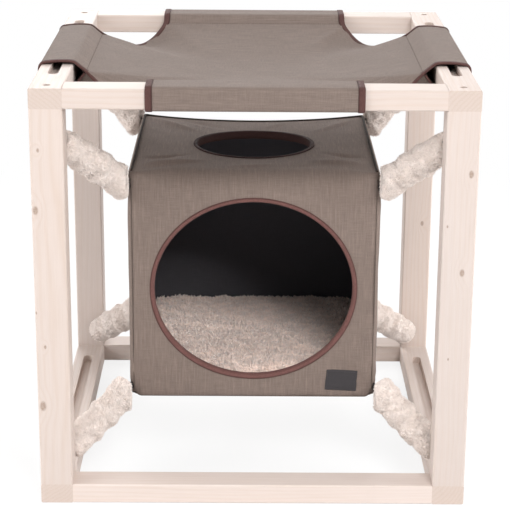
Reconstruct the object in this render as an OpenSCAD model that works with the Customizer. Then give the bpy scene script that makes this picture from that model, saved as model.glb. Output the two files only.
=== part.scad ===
// Cat condo: an open timber cube, a soft house hung inside it on padded straps, a cloth hammock on top.
// Millimetres. +Z is up, the front with the entrance faces -Y, the origin is on the floor at the centre.

/* [Timber frame] */
// Outside width of the frame, left to right
frame_w = 600; // [560:5:680]
// Outside depth of the frame, front to back
frame_d = 600; // [560:5:680]
// Height of the frame
frame_h = 600; // [560:5:680]
// Side of the square posts, and width of every rail
post_w = 45; // [42:1:56]
// Height of the rails
rail_h = 28; // [26:1:36]
// Flattened long edges of the timber
timber_edge = 1.5; // [0.5:0.5:3]
// Width of the groove milled in the top of each side rail
groove_w = 15; // [10:1:20]
// Distance from the ends of a side rail to the round ends of its groove
groove_end = 93; // [70:1:150]
// Depth of that groove
groove_depth = 11; // [6:1:14]

/* [Frame fasteners] */
// Shank diameter of the frame bolts
bolt_d = 6; // [5:1:8]
// Length of the bolts under the head
bolt_l = 55; // [45:1:70]
// Diameter of the bolt heads
bolt_head_d = 10; // [9:0.5:13]
// Height of the bolt heads
bolt_head_h = 6; // [4:0.5:8]
// Socket across the flats
bolt_socket = 5; // [3:0.5:6]
// Depth of the socket
bolt_socket_depth = 3; // [2:0.5:4]
// Diameter of the sinking for a bolt head
sink_d = 11; // [10:0.5:14]
// Depth of that sinking
sink_depth = 10; // [7:0.5:12]
// Outside diameter of the threaded inserts
insert_d = 10; // [8:0.5:12]
// Length of the threaded inserts
insert_l = 15; // [10:1:20]
// Depth at which an insert lies below the end of its timber
insert_sink = 1; // [0.5:0.5:3]
// Sideways step from a post bolt to the rail bolt beside it
rail_bolt_step = 13.5; // [12:0.5:16]
// Diameter of the wooden dowels
dowel_d = 8; // [6:1:10]
// Length of the dowels in the post ends
post_dowel_l = 36; // [28:2:40]
// Length of the dowels in the cross rail ends
rail_dowel_l = 30; // [24:2:32]
// Sideways step from a post bolt to the dowel beside it
dowel_step = 13; // [11:0.5:15]

/* [Strap hardware] */
// Distance of the screw eyes from the side of the frame
eye_in = 32; // [15:1:38]
// Distance of the upper screw eyes below the top of the frame
eye_drop_up = 84; // [60:1:120]
// Height of the lower screw eyes
eye_z_low = 55; // [50:1:120]
// Radius of the eye, to the middle of its wire
eye_r = 8; // [7:0.5:10]
// Wire diameter of the screw eyes
eye_wire_d = 4.4; // [3:0.2:5]
// Length of the screw in the post
eye_screw_l = 28; // [20:1:36]
// Diameter of that screw
eye_screw_d = 3.8; // [2.6:0.2:4.2]
// Bow radius of the snap hooks, to the middle of the wire
hook_r = 6; // [6:0.5:8]
// Wire diameter of the snap hooks
hook_wire_d = 4; // [3.6:0.2:4]
// Length of the snap hooks, between the middles of their two bows
hook_l = 24; // [22:1:30]
// Pin diameter in the gates of the snap hooks
gate_pin_d = 1.6; // [1.2:0.1:1.8]
// Thickness of a gate's flat tang
gate_tang_t = 2.2; // [1.6:0.1:2.4]
// Metal round the pin in a gate's tang
gate_eye_wall = 1.15; // [0.9:0.05:1.3]
// Rim of the hook's two cheeks past that tang
cheek_rim = 0.6; // [0.3:0.1:0.8]
// Thickness of those cheeks
cheek_t = 1.2; // [0.8:0.1:1.4]
// Cord diameter of the end loops
loop_cord_d = 5; // [4:0.5:5]
// Radius of the end loops, to the middle of the cord
loop_r = 6; // [6:0.5:8]
// Cord diameter between the loops
cord_d = 7; // [6:0.5:8]
// Radius of the corner rings of the house, to the middle of the wire
ring_r = 8; // [7.5:0.5:10]
// Wire diameter of the corner rings
ring_wire_d = 3.6; // [3:0.2:4]
// Width of the corner tabs
tab_w = 8; // [6:0.5:9]
// Thickness of a corner tab's two layers
tab_t = 3.2; // [2.4:0.2:4]
// Thickness of a corner tab's single layer, round its ring
tab_layer = 1.5; // [1:0.1:2]

/* [Plush sleeves] */
// Outside radius of the plush sleeves
sleeve_r = 20.5; // [18:0.5:24]
// Radius at the two drawn-in ends
sleeve_end_r = 16; // [14:0.5:18]
// Height of the gathers along a sleeve
sleeve_gather = 1.6; // [0:0.2:2.5]
// Number of gathers along a sleeve
sleeve_gathers = 4; // [2:1:6]
// Swing of the gathers round a sleeve, in degrees
sleeve_sway = 70; // [0:5:120]
// Inside radius at the two mouths
sleeve_mouth_r = 11.4; // [11:0.2:12.6]
// Distance from the eye to the start of a sleeve
sleeve_start = 6; // [5:0.5:12]
// Distance from the end of a sleeve to the corner of the house
sleeve_stop = 7; // [5:0.5:12]
// Reach of the end of a sleeve past the edge of the house
sleeve_lap = 5; // [2:0.5:10]

/* [House] */
// Room between the sides of the frame and the house, left and right
side_room = 120; // [110:1:135]
// Room between the faces of the frame and the house, front and back
front_room = 120; // [110:1:135]
// Room between the top of the frame and the top of the house
head_room = 146; // [130:1:170]
// Height of the house's floor above the ground
house_z = 112; // [90:2:140]
// Radius of the upright edges
house_r = 12; // [8:1:20]
// Thickness of the outer cloth
cover_t = 1.5; // [1:0.1:2.5]
// Thickness of the felt boards in the walls
board_t = 7; // [4:0.5:10]
// Thickness of the dark lining
lining_t = 1; // [0.8:0.1:1.6]
// Distance of the upper tabs below the top of the house
tab_drop_up = 22; // [16:1:40]
// Distance of the lower tabs above the bottom of the house
tab_rise_low = 19; // [16:1:40]
// Cloth at each side of the entrance, up to the inside of its binding
entry_side = 37; // [30:1:80]
// Cloth above and below the entrance, up to the inside of its binding
entry_rim = 40; // [34:1:70]
// Distance of the entrance's middle below the middle of the front
entry_drop = 3; // [0:1:6]
// Cloth round the hole in the top, up to the inside of its binding
hatch_rim = 95; // [70:1:120]
// Distance of that hole's middle behind the middle of the house
hatch_back = 11; // [0:1:20]
// Width of the bindings round the holes, as seen on the face
binding_w = 8.5; // [6:0.5:12]
// Thickness of the binding cloth
binding_t = 1.2; // [0.8:0.1:2]
// Diameter of the piping round the top
piping_d = 5; // [3:0.5:7]
// Width of the bare cloth patch
patch_w = 46; // [30:1:60]
// Height of the bare cloth patch
patch_h = 32; // [20:1:40]
// Thickness of the bare cloth patch
patch_t = 1; // [0.6:0.1:2]
// Distance of the patch's middle from the right side of the house
patch_in = 51; // [40:1:60]
// Height of the patch's middle above the bottom of the house
patch_up = 29; // [24:1:32]
// Tilt of the patch, in degrees
patch_tilt = 3; // [-5:1:5]

/* [Cushion] */
// Thickness of the cushion at its crown
cushion_h = 32; // [20:1:60]
// Room between the cushion and the walls of the house
cushion_gap = 4; // [2.5:0.5:8]
// Squareness of the cushion's outline
cushion_square = 6; // [3:0.5:9]
// Depth of the shallow dimples in the crown
cushion_dimple = 1.2; // [0:0.2:2]

/* [Hammock] */
// Thickness of the hammock cloth
cloth_t = 1.6; // [1:0.1:2.4]
// Distance from the corners of the frame to the ends of the sleeves round the rails
tunnel_end = 155; // [120:1:180]
// Width of the binding at the ends of those sleeves
edge_band = 8; // [5:0.5:12]
// Distance from a rail's inner face to the seam that closes its sleeve
seam_in = 18; // [12:1:30]
// Height of the seam below the top of the frame
seam_drop = 9; // [6:0.5:14]
// Sag of the cloth in the middle, below the seams
cloth_sag = 30; // [10:1:50]
// Sag of the free corner edges, below the seams
corner_sag = 20; // [8:1:30]
// Inward bow of the free corner edges
corner_bow = 9; // [0:1:25]

/* [Hidden] */
// Clearance of bolts in their holes
bolt_gap = 0.25;
// Clearance of inserts, dowels and screws in the timber
wood_gap = 0.05;
// Clearance between linked wires and cords
link_gap = 0.3;
// Running clearance of the gates
gate_gap = 0.07;
// Clearance between soft layers
cloth_gap = 0.05;
// Clearance of the hammock sleeves round the rails
tunnel_gap = 0.2;
// Clearance of the plush sleeves to the posts, and to the house
plush_post_gap = 0.6;
plush_house_gap = 3;
// Overrun of cutting shapes
cut = 1;
// Facets of round shapes
$fn = 48;
fine_fn = 96;
oval_n = 72;

half_w = frame_w / 2;
half_d = frame_d / 2;
post_cx = half_w - post_w / 2;
post_cy = half_d - post_w / 2;
post_l = frame_h - 2 * rail_h;
cross_l = frame_w - 2 * post_w;
rail_bolt_y = post_cy - rail_bolt_step;
dowel_y = post_cy + dowel_step;
groove_l = frame_d - 2 * groove_end;

eye_wire = eye_wire_d / 2;
hook_wire = hook_wire_d / 2;
loop_cord = loop_cord_d / 2;
ring_wire = ring_wire_d / 2;
eye_x = half_w - eye_in;
eye_z_up = frame_h - eye_drop_up;
eye_y = half_d - post_w - eye_r - eye_wire - link_gap;
house_w = frame_w - 2 * side_room;
house_d = frame_d - 2 * front_room;
house_h = frame_h - house_z - head_room;
house_top = house_z + house_h;
entry_w = house_w - 2 * entry_side;
entry_h = house_h - 2 * entry_rim;
entry_z = house_z + house_h / 2 - entry_drop;
hatch_d = min(house_w, house_d) - 2 * hatch_rim;
patch_x = house_w / 2 - patch_in;
patch_z = house_z + patch_up;
tab_x = house_w / 2 - house_r + house_r / sqrt(2);
tab_y = house_d / 2 - house_r + house_r / sqrt(2);

// Distances along a strap, from the middle of its eye
hook_apex = eye_r - eye_wire - hook_wire - link_gap;
hook_top = hook_apex + hook_r;
hook_bottom = hook_top + hook_l;
loop1 = hook_bottom + hook_r - hook_wire - loop_cord - link_gap + loop_r;
tab_reach = tab_layer + ring_wire + 3 * link_gap + tab_t;
gate_pivot = hook_bottom - hook_wire - link_gap;
gate_nose = hook_top + hook_wire;
gate_r = hook_wire - gate_gap;
gate_eye_r = gate_pin_d / 2 + gate_eye_wall;
cheek_r = gate_eye_r + cheek_rim;
gate_neck = gate_eye_r + cheek_t + cheek_rim;

lining_out = cover_t + board_t;
wall_t = lining_out + lining_t;
floor_z = house_z + wall_t;

rail_in = half_w - post_w;
seam_x = half_w - post_w - seam_in;
seam_y = half_d - post_w - seam_in;
tunnel_x = half_w - tunnel_end;
tunnel_y = half_d - tunnel_end;
seam_z = frame_h - seam_drop;

pine = [0.93, 0.87, 0.80];
pale_dowel = [0.85, 0.74, 0.58];
steel = [0.55, 0.55, 0.56];
brass = [0.75, 0.62, 0.35];
taupe = [0.66, 0.61, 0.58];
plush = [0.92, 0.87, 0.83];
dark_lining = [0.10, 0.095, 0.10];
felt = [0.45, 0.44, 0.43];
russet = [0.33, 0.21, 0.19];
dark_cord = [0.16, 0.14, 0.14];
beige = [0.75, 0.67, 0.61];
patch_grey = [0.25, 0.24, 0.25];

// Shared helpers

// Corner 0 is front left, 1 front right, 2 back left, 3 back right
module at_corner(i) {
    if (i == 0) children();
    if (i == 1) mirror([1, 0, 0]) children();
    if (i == 2) mirror([0, 1, 0]) children();
    if (i == 3) mirror([1, 0, 0]) mirror([0, 1, 0]) children();
}

// A copy at the top of the frame, and one turned over at the bottom
module top_and_bottom() {
    children();
    translate([0, 0, frame_h]) mirror([0, 0, 1]) children();
}

module on_right(right) {
    if (right) mirror([1, 0, 0]) children(); else children();
}

module on_back(back) {
    if (back) mirror([0, 1, 0]) children(); else children();
}

// Timber of section w by h along +Z, with its long edges flattened
module timber(w, h, l) {
    x = w / 2;
    y = h / 2;
    e = timber_edge;
    linear_extrude(l) polygon([[-x + e, -y], [x - e, -y], [x, -y + e], [x, y - e],
        [x - e, y], [-x + e, y], [-x, y - e], [-x, -y + e]]);
}

// Timber frame

// Holes in a side rail, drawn for the left rail at the top
module side_rail_holes() {
    for (i = [0, 2]) at_corner(i) {
        translate([-post_cx, -post_cy, frame_h - sink_depth]) cylinder(d = sink_d, h = sink_depth + cut);
        translate([-post_cx, -post_cy, frame_h - rail_h - cut])
            cylinder(d = bolt_d + 2 * bolt_gap, h = rail_h);
        translate([-half_w - cut, -rail_bolt_y, frame_h - rail_h / 2]) rotate([0, 90, 0]) {
            cylinder(d = sink_d, h = sink_depth + cut);
            cylinder(d = bolt_d + 2 * bolt_gap, h = post_w + 2 * cut);
        }
        translate([-post_cx, -dowel_y, frame_h - rail_h - cut])
            cylinder(d = dowel_d + 2 * wood_gap, h = post_dowel_l / 2 + cut);
        translate([-rail_in + cut, -dowel_y, frame_h - rail_h / 2]) rotate([0, -90, 0])
            cylinder(d = dowel_d + 2 * wood_gap, h = rail_dowel_l / 2 + cut);
    }
}

// The groove, with its floor groove_depth below the rail's upper face at height z
module groove(z) {
    run = groove_l - groove_w;
    translate([-post_cx, 0, z - groove_depth]) {
        translate([-groove_w / 2, -run / 2, 0]) cube([groove_w, run, groove_depth + cut]);
        for (s = [-1, 1]) translate([0, s * run / 2, 0]) cylinder(d = groove_w, h = groove_depth + cut);
    }
}

module left_rail_blank() {
    translate([-post_cx, half_d, frame_h - rail_h / 2]) rotate([90, 0, 0]) timber(post_w, rail_h, frame_d);
}

module drilled_left_rail() {
    difference() {
        left_rail_blank();
        side_rail_holes();
    }
}

module side_rail(top, right) {
    color(pine) on_right(right) difference() {
        if (top) drilled_left_rail();
        else translate([0, 0, frame_h]) mirror([0, 0, 1]) drilled_left_rail();
        groove(top ? frame_h : rail_h);
    }
}

module post_end_holes() {
    translate([-post_cx, -post_cy, 0]) {
        translate([0, 0, frame_h - rail_h - insert_sink - insert_l])
            cylinder(d = insert_d + 2 * wood_gap, h = insert_l + insert_sink + cut);
        translate([0, 0, frame_h - sink_depth - bolt_l - cut])
            cylinder(d = bolt_d + 2 * bolt_gap, h = bolt_l);
    }
    translate([-post_cx, -dowel_y, frame_h - rail_h - post_dowel_l / 2])
        cylinder(d = dowel_d + 2 * wood_gap, h = post_dowel_l);
}

module post(i) {
    color(pine) at_corner(i) difference() {
        translate([-post_cx, -post_cy, rail_h]) timber(post_w, post_w, post_l);
        top_and_bottom() post_end_holes();
        for (z = [eye_z_low, eye_z_up]) translate([-eye_x, -half_d + post_w + cut, z]) rotate([90, 0, 0])
            cylinder(d = eye_screw_d + 2 * wood_gap, h = eye_screw_l + cut);
    }
}

module cross_rail_end_holes() {
    for (i = [0, 1]) at_corner(i) translate([-rail_in, 0, frame_h - rail_h / 2]) {
        translate([-cut, -rail_bolt_y, 0]) rotate([0, 90, 0]) {
            cylinder(d = insert_d + 2 * wood_gap, h = cut + insert_sink + insert_l);
            cylinder(d = bolt_d + 2 * bolt_gap, h = bolt_l);
        }
        translate([-cut, -dowel_y, 0]) rotate([0, 90, 0])
            cylinder(d = dowel_d + 2 * wood_gap, h = rail_dowel_l / 2 + cut);
    }
}

module cross_rail_front_top() {
    difference() {
        translate([-cross_l / 2, -post_cy, frame_h - rail_h / 2]) rotate([90, 0, 90])
            timber(post_w, rail_h, cross_l);
        cross_rail_end_holes();
    }
}

module cross_rail(top, back) {
    color(pine) on_back(back) {
        if (top) cross_rail_front_top();
        else translate([0, 0, frame_h]) mirror([0, 0, 1]) cross_rail_front_top();
    }
}

// Frame fasteners

// A socket bolt, its head seat at z = 0 and its shank down -Z
module bolt() {
    translate([0, 0, -bolt_l]) cylinder(d = bolt_d, h = bolt_l);
    difference() {
        cylinder(d = bolt_head_d, h = bolt_head_h);
        translate([0, 0, bolt_head_h - bolt_socket_depth])
            cylinder(d = bolt_socket / cos(30), h = bolt_socket_depth + cut, $fn = 6);
    }
}

module insert() {
    difference() {
        cylinder(d = insert_d, h = insert_l);
        translate([0, 0, -cut]) cylinder(d = bolt_d + 2 * wood_gap, h = insert_l + 2 * cut);
    }
}

module post_bolts() {
    color(steel) top_and_bottom() for (i = [0 : 3]) at_corner(i)
        translate([-post_cx, -post_cy, frame_h - sink_depth]) bolt();
}

module rail_bolts() {
    color(steel) top_and_bottom() for (i = [0 : 3]) at_corner(i)
        translate([-half_w + sink_depth, -rail_bolt_y, frame_h - rail_h / 2]) rotate([0, -90, 0]) bolt();
}

module inserts() {
    color(brass) top_and_bottom() for (i = [0 : 3]) at_corner(i) {
        translate([-post_cx, -post_cy, frame_h - rail_h - insert_sink - insert_l]) insert();
        translate([-rail_in + insert_sink, -rail_bolt_y, frame_h - rail_h / 2]) rotate([0, 90, 0]) insert();
    }
}

module dowels() {
    color(pale_dowel) top_and_bottom() for (i = [0 : 3]) at_corner(i) {
        translate([-post_cx, -dowel_y, frame_h - rail_h - post_dowel_l / 2 + wood_gap])
            cylinder(d = dowel_d, h = post_dowel_l - 2 * wood_gap);
        translate([-rail_in - rail_dowel_l / 2 + wood_gap, -dowel_y, frame_h - rail_h / 2]) rotate([0, 90, 0])
            cylinder(d = dowel_d, h = rail_dowel_l - 2 * wood_gap);
    }
}

// Straps: k is 1 for the upper ring of straps, 0 for the lower one

function unit(v) = v / norm(v);
function eye_pt(k) = [-eye_x, -eye_y, k == 1 ? eye_z_up : eye_z_low];
function tab_pt(k) = [-tab_x, -tab_y, k == 1 ? house_top - tab_drop_up : house_z + tab_rise_low];
function strap_l(k) = norm(tab_pt(k) - eye_pt(k));
function strap_dir(k) = unit(tab_pt(k) - eye_pt(k));
function strap_side(k) = unit(cross([0, 1, 0], strap_dir(k)));
function strap_up(k) = cross(strap_dir(k), strap_side(k));
function strap_turn(k) = atan2(strap_dir(k)[1], strap_dir(k)[0]);
function strap_tip(k) = acos(strap_dir(k)[2]);
function strap_roll(k) = let (a = strap_turn(k), b = strap_tip(k))
    atan2(strap_side(k) * [-sin(a), cos(a), 0], strap_side(k) * [cos(b) * cos(a), cos(b) * sin(a), -sin(b)]);
function ring_at(k) = strap_l(k) - tab_reach - ring_r;
function loop2(k) = ring_at(k) - ring_r + ring_wire + loop_cord + link_gap - loop_r;

// Local frame of a strap: +Z along it from its eye, the eye in the YZ plane, the hook in the XZ plane
module on_strap(k) {
    translate(eye_pt(k)) rotate([0, strap_tip(k), strap_turn(k)]) rotate([0, 0, strap_roll(k)]) children();
}

module each_strap() {
    for (i = [0 : 3]) at_corner(i) children();
}

module torus(r, wire) {
    rotate_extrude() translate([r, 0]) circle(r = wire);
}

// Half a ring in the XZ plane, with its bow towards -Z
module bow(r, wire) {
    rotate([-90, 0, 0]) rotate_extrude(angle = 180) translate([r, 0]) circle(r = wire);
}

module screw_eye(k) {
    on_strap(k) rotate([0, 90, 0]) torus(eye_r, eye_wire);
    translate([-eye_x, -eye_y - eye_r, k == 1 ? eye_z_up : eye_z_low]) rotate([90, 0, 0])
        cylinder(d = eye_screw_d, h = half_d - post_w + eye_screw_l - eye_y - eye_r - wood_gap);
}

module screw_eyes() {
    color(steel) each_strap() for (k = [0, 1]) screw_eye(k);
}

module snap_hook() {
    translate([0, 0, hook_top]) bow(hook_r, hook_wire);
    translate([0, 0, hook_bottom]) mirror([0, 0, 1]) bow(hook_r, hook_wire);
    translate([hook_r, 0, hook_top]) cylinder(r = hook_wire, h = hook_l);
    translate([-hook_r, 0, hook_top]) cylinder(r = hook_wire, h = gate_nose - hook_top - link_gap);
    for (s = [-1, 1]) translate([-hook_r, s * (gate_tang_t / 2 + gate_gap + cheek_t / 2), gate_pivot]) {
        rotate([90, 0, 0]) cylinder(r = cheek_r, h = cheek_t, center = true);
        translate([-hook_wire, -cheek_t / 2, 0]) cube([hook_wire_d, cheek_t, cheek_r + hook_wire]);
    }
    translate([-hook_r, 0, gate_pivot]) rotate([90, 0, 0])
        cylinder(d = gate_pin_d, h = gate_tang_t + 2 * gate_gap + 2 * cheek_t, center = true);
}

module snap_hooks() {
    color(steel) each_strap() for (k = [0, 1]) on_strap(k) snap_hook();
}

module gate(k, i) {
    color(steel) at_corner(i) on_strap(k) translate([-hook_r, 0, 0]) difference() {
        union() {
            translate([0, 0, gate_nose]) cylinder(r = gate_r, h = gate_pivot - gate_neck - gate_nose);
            translate([-gate_eye_r, -gate_tang_t / 2, gate_pivot - gate_neck - cut])
                cube([2 * gate_eye_r, gate_tang_t, gate_neck + cut]);
            translate([0, 0, gate_pivot]) rotate([90, 0, 0])
                cylinder(r = gate_eye_r, h = gate_tang_t, center = true);
        }
        translate([0, 0, gate_pivot]) rotate([90, 0, 0])
            cylinder(d = gate_pin_d + 2 * gate_gap, h = hook_wire_d + 2 * cut, center = true);
    }
}

module strap_cord(k) {
    translate([0, 0, loop1]) rotate([0, 90, 0]) torus(loop_r, loop_cord);
    translate([0, 0, loop2(k)]) rotate([0, 90, 0]) torus(loop_r, loop_cord);
    translate([0, 0, loop1 + loop_r]) cylinder(d = cord_d, h = loop2(k) - loop1 - 2 * loop_r);
}

module strap_cords() {
    color(plush) each_strap() for (k = [0, 1]) on_strap(k) strap_cord(k);
}

module corner_rings() {
    color(steel) each_strap() for (k = [0, 1]) on_strap(k) translate([0, 0, ring_at(k)])
        rotate([90, 0, 0]) torus(ring_r, ring_wire);
}

module corner_tab(k) {
    hole = ring_wire + 5 * link_gap;
    on_strap(k) translate([-tab_w / 2, 0, ring_at(k) + ring_r]) rotate([0, 90, 0]) difference() {
        union() {
            cylinder(r = hole + tab_layer, h = tab_w);
            translate([-tab_reach - house_r, -tab_t / 2, 0]) cube([tab_reach + house_r, tab_t, tab_w]);
        }
        translate([0, 0, -cut]) cylinder(r = hole, h = tab_w + 2 * cut);
    }
}

module corner_tabs() {
    color(dark_cord) each_strap() for (k = [0, 1]) difference() {
        corner_tab(k);
        house_block(-cloth_gap, house_z, house_h);
    }
}

// Plush sleeves on the straps

sleeve_n = 16;
sleeve_rings = 12;
sleeve_round = 0.4;
bore_gap = 1;
bore_cord = cord_d / 2 + bore_gap;
function bore_stations(k) = [
    [sleeve_start, sleeve_mouth_r], [loop1 + loop_r, sleeve_mouth_r],
    [loop1 + loop_r + cord_d, bore_cord], [loop2(k) - loop_r - cord_d, bore_cord],
    [loop2(k) - loop_r, sleeve_mouth_r], [strap_l(k) - sleeve_stop, sleeve_mouth_r]];

// Outside radius at share u of the length and angle a: drawn in at both ends, gathered between them
function sleeve_out(u, a) = sleeve_end_r + (sleeve_r - sleeve_end_r) * pow(sin(180 * u), sleeve_round)
    + sleeve_gather * sin(360 * sleeve_gathers * u + sleeve_sway * sin(2 * a)) * sin(180 * u);

function strap_pt(k, s, r, a) = eye_pt(k) + s * strap_dir(k)
    + r * cos(a) * strap_side(k) + r * sin(a) * strap_up(k);

// Keeps a point off the post's face, and draws it back along the strap off the house and its edge
function off_post(p) = [p[0], max(p[1], -half_d + post_w + plush_post_gap), p[2]];
function off_house(p, d) =
    let (ix = p[0] + house_w / 2 + plush_house_gap, iy = p[1] + house_d / 2 + plush_house_gap)
    p - max(0, min(ix / d[0], iy / d[1]), (ix - sleeve_lap) / d[0], (iy - sleeve_lap) / d[1]) * d;
function soft_pt(k, s, r, a) = off_house(off_post(strap_pt(k, s, r, a)), strap_dir(k));

// Triangles between ring p and ring q of n points, facing out when flip is false
function band(p, q, n, flip) = [for (j = [0 : n - 1]) let (m = (j + 1) % n)
    each flip ? [[p + j, p + m, q + m], [p + j, q + m, q + j]]
        : [[p + j, q + m, p + m], [p + j, q + j, q + m]]];

module plush_sleeve(k, i) {
    n = sleeve_n;
    l = strap_l(k) - sleeve_stop - sleeve_start;
    bore = bore_stations(k);
    outer = [for (t = [0 : sleeve_rings]) for (j = [0 : n - 1]) let (u = t / sleeve_rings, a = 360 * j / n)
        soft_pt(k, sleeve_start + u * l, sleeve_out(u, a), a)];
    inner = [for (b = bore) for (j = [0 : n - 1]) soft_pt(k, b[0], b[1], 360 * j / n)];
    base = len(outer);
    last = len(bore) - 1;
    faces = concat(
        [for (t = [0 : sleeve_rings - 1]) each band(t * n, (t + 1) * n, n, false)],
        [for (b = [0 : last - 1]) each band(base + b * n, base + (b + 1) * n, n, true)],
        band(0, base, n, true), band(sleeve_rings * n, base + last * n, n, false));
    color(plush) at_corner(i) polyhedron(points = concat(outer, inner), faces = faces, convexity = 6);
}

// House

// Upright rounded block, in from the house's sides by d, from height z and h high
module house_block(d, z, h) {
    x = house_w / 2 - d;
    y = house_d / 2 - d;
    r = max(house_r - d, 1);
    translate([0, 0, z]) {
        translate([-x + r, -y, 0]) cube([2 * (x - r), 2 * y, h]);
        translate([-x, -y + r, 0]) cube([2 * x, 2 * (y - r), h]);
        for (a = [-1, 1], b = [-1, 1]) translate([a * (x - r), b * (y - r), 0]) cylinder(r = r, h = h);
    }
}

function oval(a, b) = [for (i = [0 : oval_n - 1]) [a * cos(360 * i / oval_n), b * sin(360 * i / oval_n)]];

// A prism on the oval of the entrance, grown by g, from depth y0 to y1 behind the front face
module entry_prism(g, y0, y1) {
    translate([0, -house_d / 2 + y1, entry_z]) rotate([90, 0, 0]) linear_extrude(y1 - y0)
        polygon(oval(entry_w / 2 + g, entry_h / 2 + g));
}

// A round disc at the hole in the top, grown by g, from depth z0 to z1 below the top face
module hatch_disc(g, z0, z1) {
    translate([0, hatch_back, house_top - z1]) cylinder(d = hatch_d + 2 * g, h = z1 - z0, $fn = fine_fn);
}

module house_holes() {
    entry_prism(binding_t, -cut, wall_t + cut);
    hatch_disc(binding_t, -cut, wall_t + cut);
}

module house_cover() {
    color(taupe) difference() {
        house_block(0, house_z, house_h);
        house_block(cover_t, house_z + cover_t, house_h - 2 * cover_t);
        house_holes();
    }
}

module house_lining() {
    d = lining_out + cloth_gap;
    color(dark_lining) difference() {
        house_block(d, house_z + d, house_h - 2 * d);
        house_block(wall_t, floor_z, house_h - 2 * wall_t);
        house_holes();
    }
}

// Felt boards fill the space between cover and lining: floor and top first, then front and back, then sides
board_in = cover_t + cloth_gap / 2;
board_thick = board_t - cloth_gap / 2;
board_z = house_z + board_in + board_thick;
board_l = house_h - 2 * (board_in + board_thick);

// A wall board at the front, with the upright edges of the house
module wall_board() {
    intersection() {
        house_block(board_in, board_z, board_l);
        translate([-house_w / 2, -house_d / 2, board_z]) cube([house_w, board_in + board_thick, board_l]);
    }
}

module board_front() {
    color(felt) difference() {
        wall_board();
        house_holes();
    }
}

module board_back() {
    color(felt) on_back(true) wall_board();
}

module side_board() {
    run = house_d - 2 * (board_in + board_thick);
    intersection() {
        house_block(board_in, board_z, board_l);
        translate([-house_w / 2, -run / 2, board_z]) cube([board_in + board_thick, run, board_l]);
    }
}

module board_left() {
    color(felt) side_board();
}

module board_right() {
    color(felt) on_right(true) side_board();
}

module board_top() {
    color(felt) difference() {
        house_block(board_in, house_top - board_in - board_thick, board_thick);
        house_holes();
    }
}

module board_bottom() {
    color(felt) house_block(board_in, house_z + board_in, board_thick);
}

// The bindings fold round the edge of the wall, so they are rings with a slot for it
module entry_binding() {
    color(russet) difference() {
        entry_prism(binding_w, -binding_t, wall_t + binding_t);
        entry_prism(0, -binding_t - cut, wall_t + binding_t + cut);
        difference() {
            entry_prism(binding_w + cut, -cloth_gap, wall_t + cloth_gap);
            entry_prism(binding_t - cloth_gap, -cut, wall_t + cut);
        }
    }
}

module hatch_binding() {
    color(russet) difference() {
        hatch_disc(binding_w, -binding_t, wall_t + binding_t);
        hatch_disc(0, -binding_t - cut, wall_t + binding_t + cut);
        difference() {
            hatch_disc(binding_w + cut, -cloth_gap, wall_t + cloth_gap);
            hatch_disc(binding_t - cloth_gap, -cut, wall_t + cut);
        }
    }
}

// Piping along the left, back and right edges of the top, resting on the edge
module top_piping() {
    r = piping_d / 2;
    o = (r + cloth_gap) / sqrt(2);
    x = house_w / 2;
    y = house_d / 2;
    color(dark_cord) translate([0, 0, house_top + o]) {
        for (s = [-1, 1]) translate([s * (x + o), -y + house_r, 0]) rotate([-90, 0, 0])
            cylinder(r = r, h = 2 * (y - house_r));
        translate([-x + house_r, y + o, 0]) rotate([0, 90, 0]) cylinder(r = r, h = 2 * (x - house_r));
        translate([x - house_r, y - house_r, 0]) rotate_extrude(angle = 90)
            translate([house_r + o, 0]) circle(r = r);
        translate([-x + house_r, y - house_r, 0]) rotate([0, 0, 90]) rotate_extrude(angle = 90)
            translate([house_r + o, 0]) circle(r = r);
    }
}

module cloth_patch() {
    color(patch_grey) translate([patch_x, -house_d / 2 - patch_t - cloth_gap, patch_z])
        rotate([0, patch_tilt, 0]) translate([-patch_w / 2, 0, -patch_h / 2])
            cube([patch_w, patch_t, patch_h]);
}

// Cushion: share of the half width, share of the height, from the crown to the underside

cushion_n = 56;
cushion_profile = [[0.2, 1], [0.4, 0.985], [0.6, 0.955], [0.76, 0.89], [0.88, 0.77], [0.96, 0.58],
    [1, 0.36], [0.985, 0.14], [0.95, 0]];

function squared(a) = let (e = cushion_square)
    pow(pow(abs(cos(a)), e) + pow(abs(sin(a)), e), -1 / e);

module cushion() {
    n = cushion_n;
    half_x = house_w / 2 - wall_t - cushion_gap;
    half_y = house_d / 2 - wall_t - cushion_gap;
    z0 = floor_z + cloth_gap;
    rings = len(cushion_profile);
    skin = [for (t = [0 : rings - 1]) for (j = [0 : n - 1])
        let (c = cushion_profile[t], a = 360 * j / n, r = c[0] * squared(a), up = c[1])
        [half_x * r * cos(a), half_y * r * sin(a),
            z0 + up * cushion_h - cushion_dimple * up * (1 + sin(4 * a) * sin(180 * c[0]))]];
    top = len(skin);
    color(beige) polyhedron(
        points = concat(skin, [[0, 0, z0 + cushion_h - cushion_dimple], [0, 0, z0]]),
        faces = concat(
            [for (j = [0 : n - 1]) [top, (j + 1) % n, j]],
            [for (t = [0 : rings - 2]) each band(t * n, (t + 1) * n, n, true)],
            [for (j = [0 : n - 1]) [top + 1, (rings - 1) * n + j, (rings - 1) * n + (j + 1) % n]]),
        convexity = 4);
}

// Hammock

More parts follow.
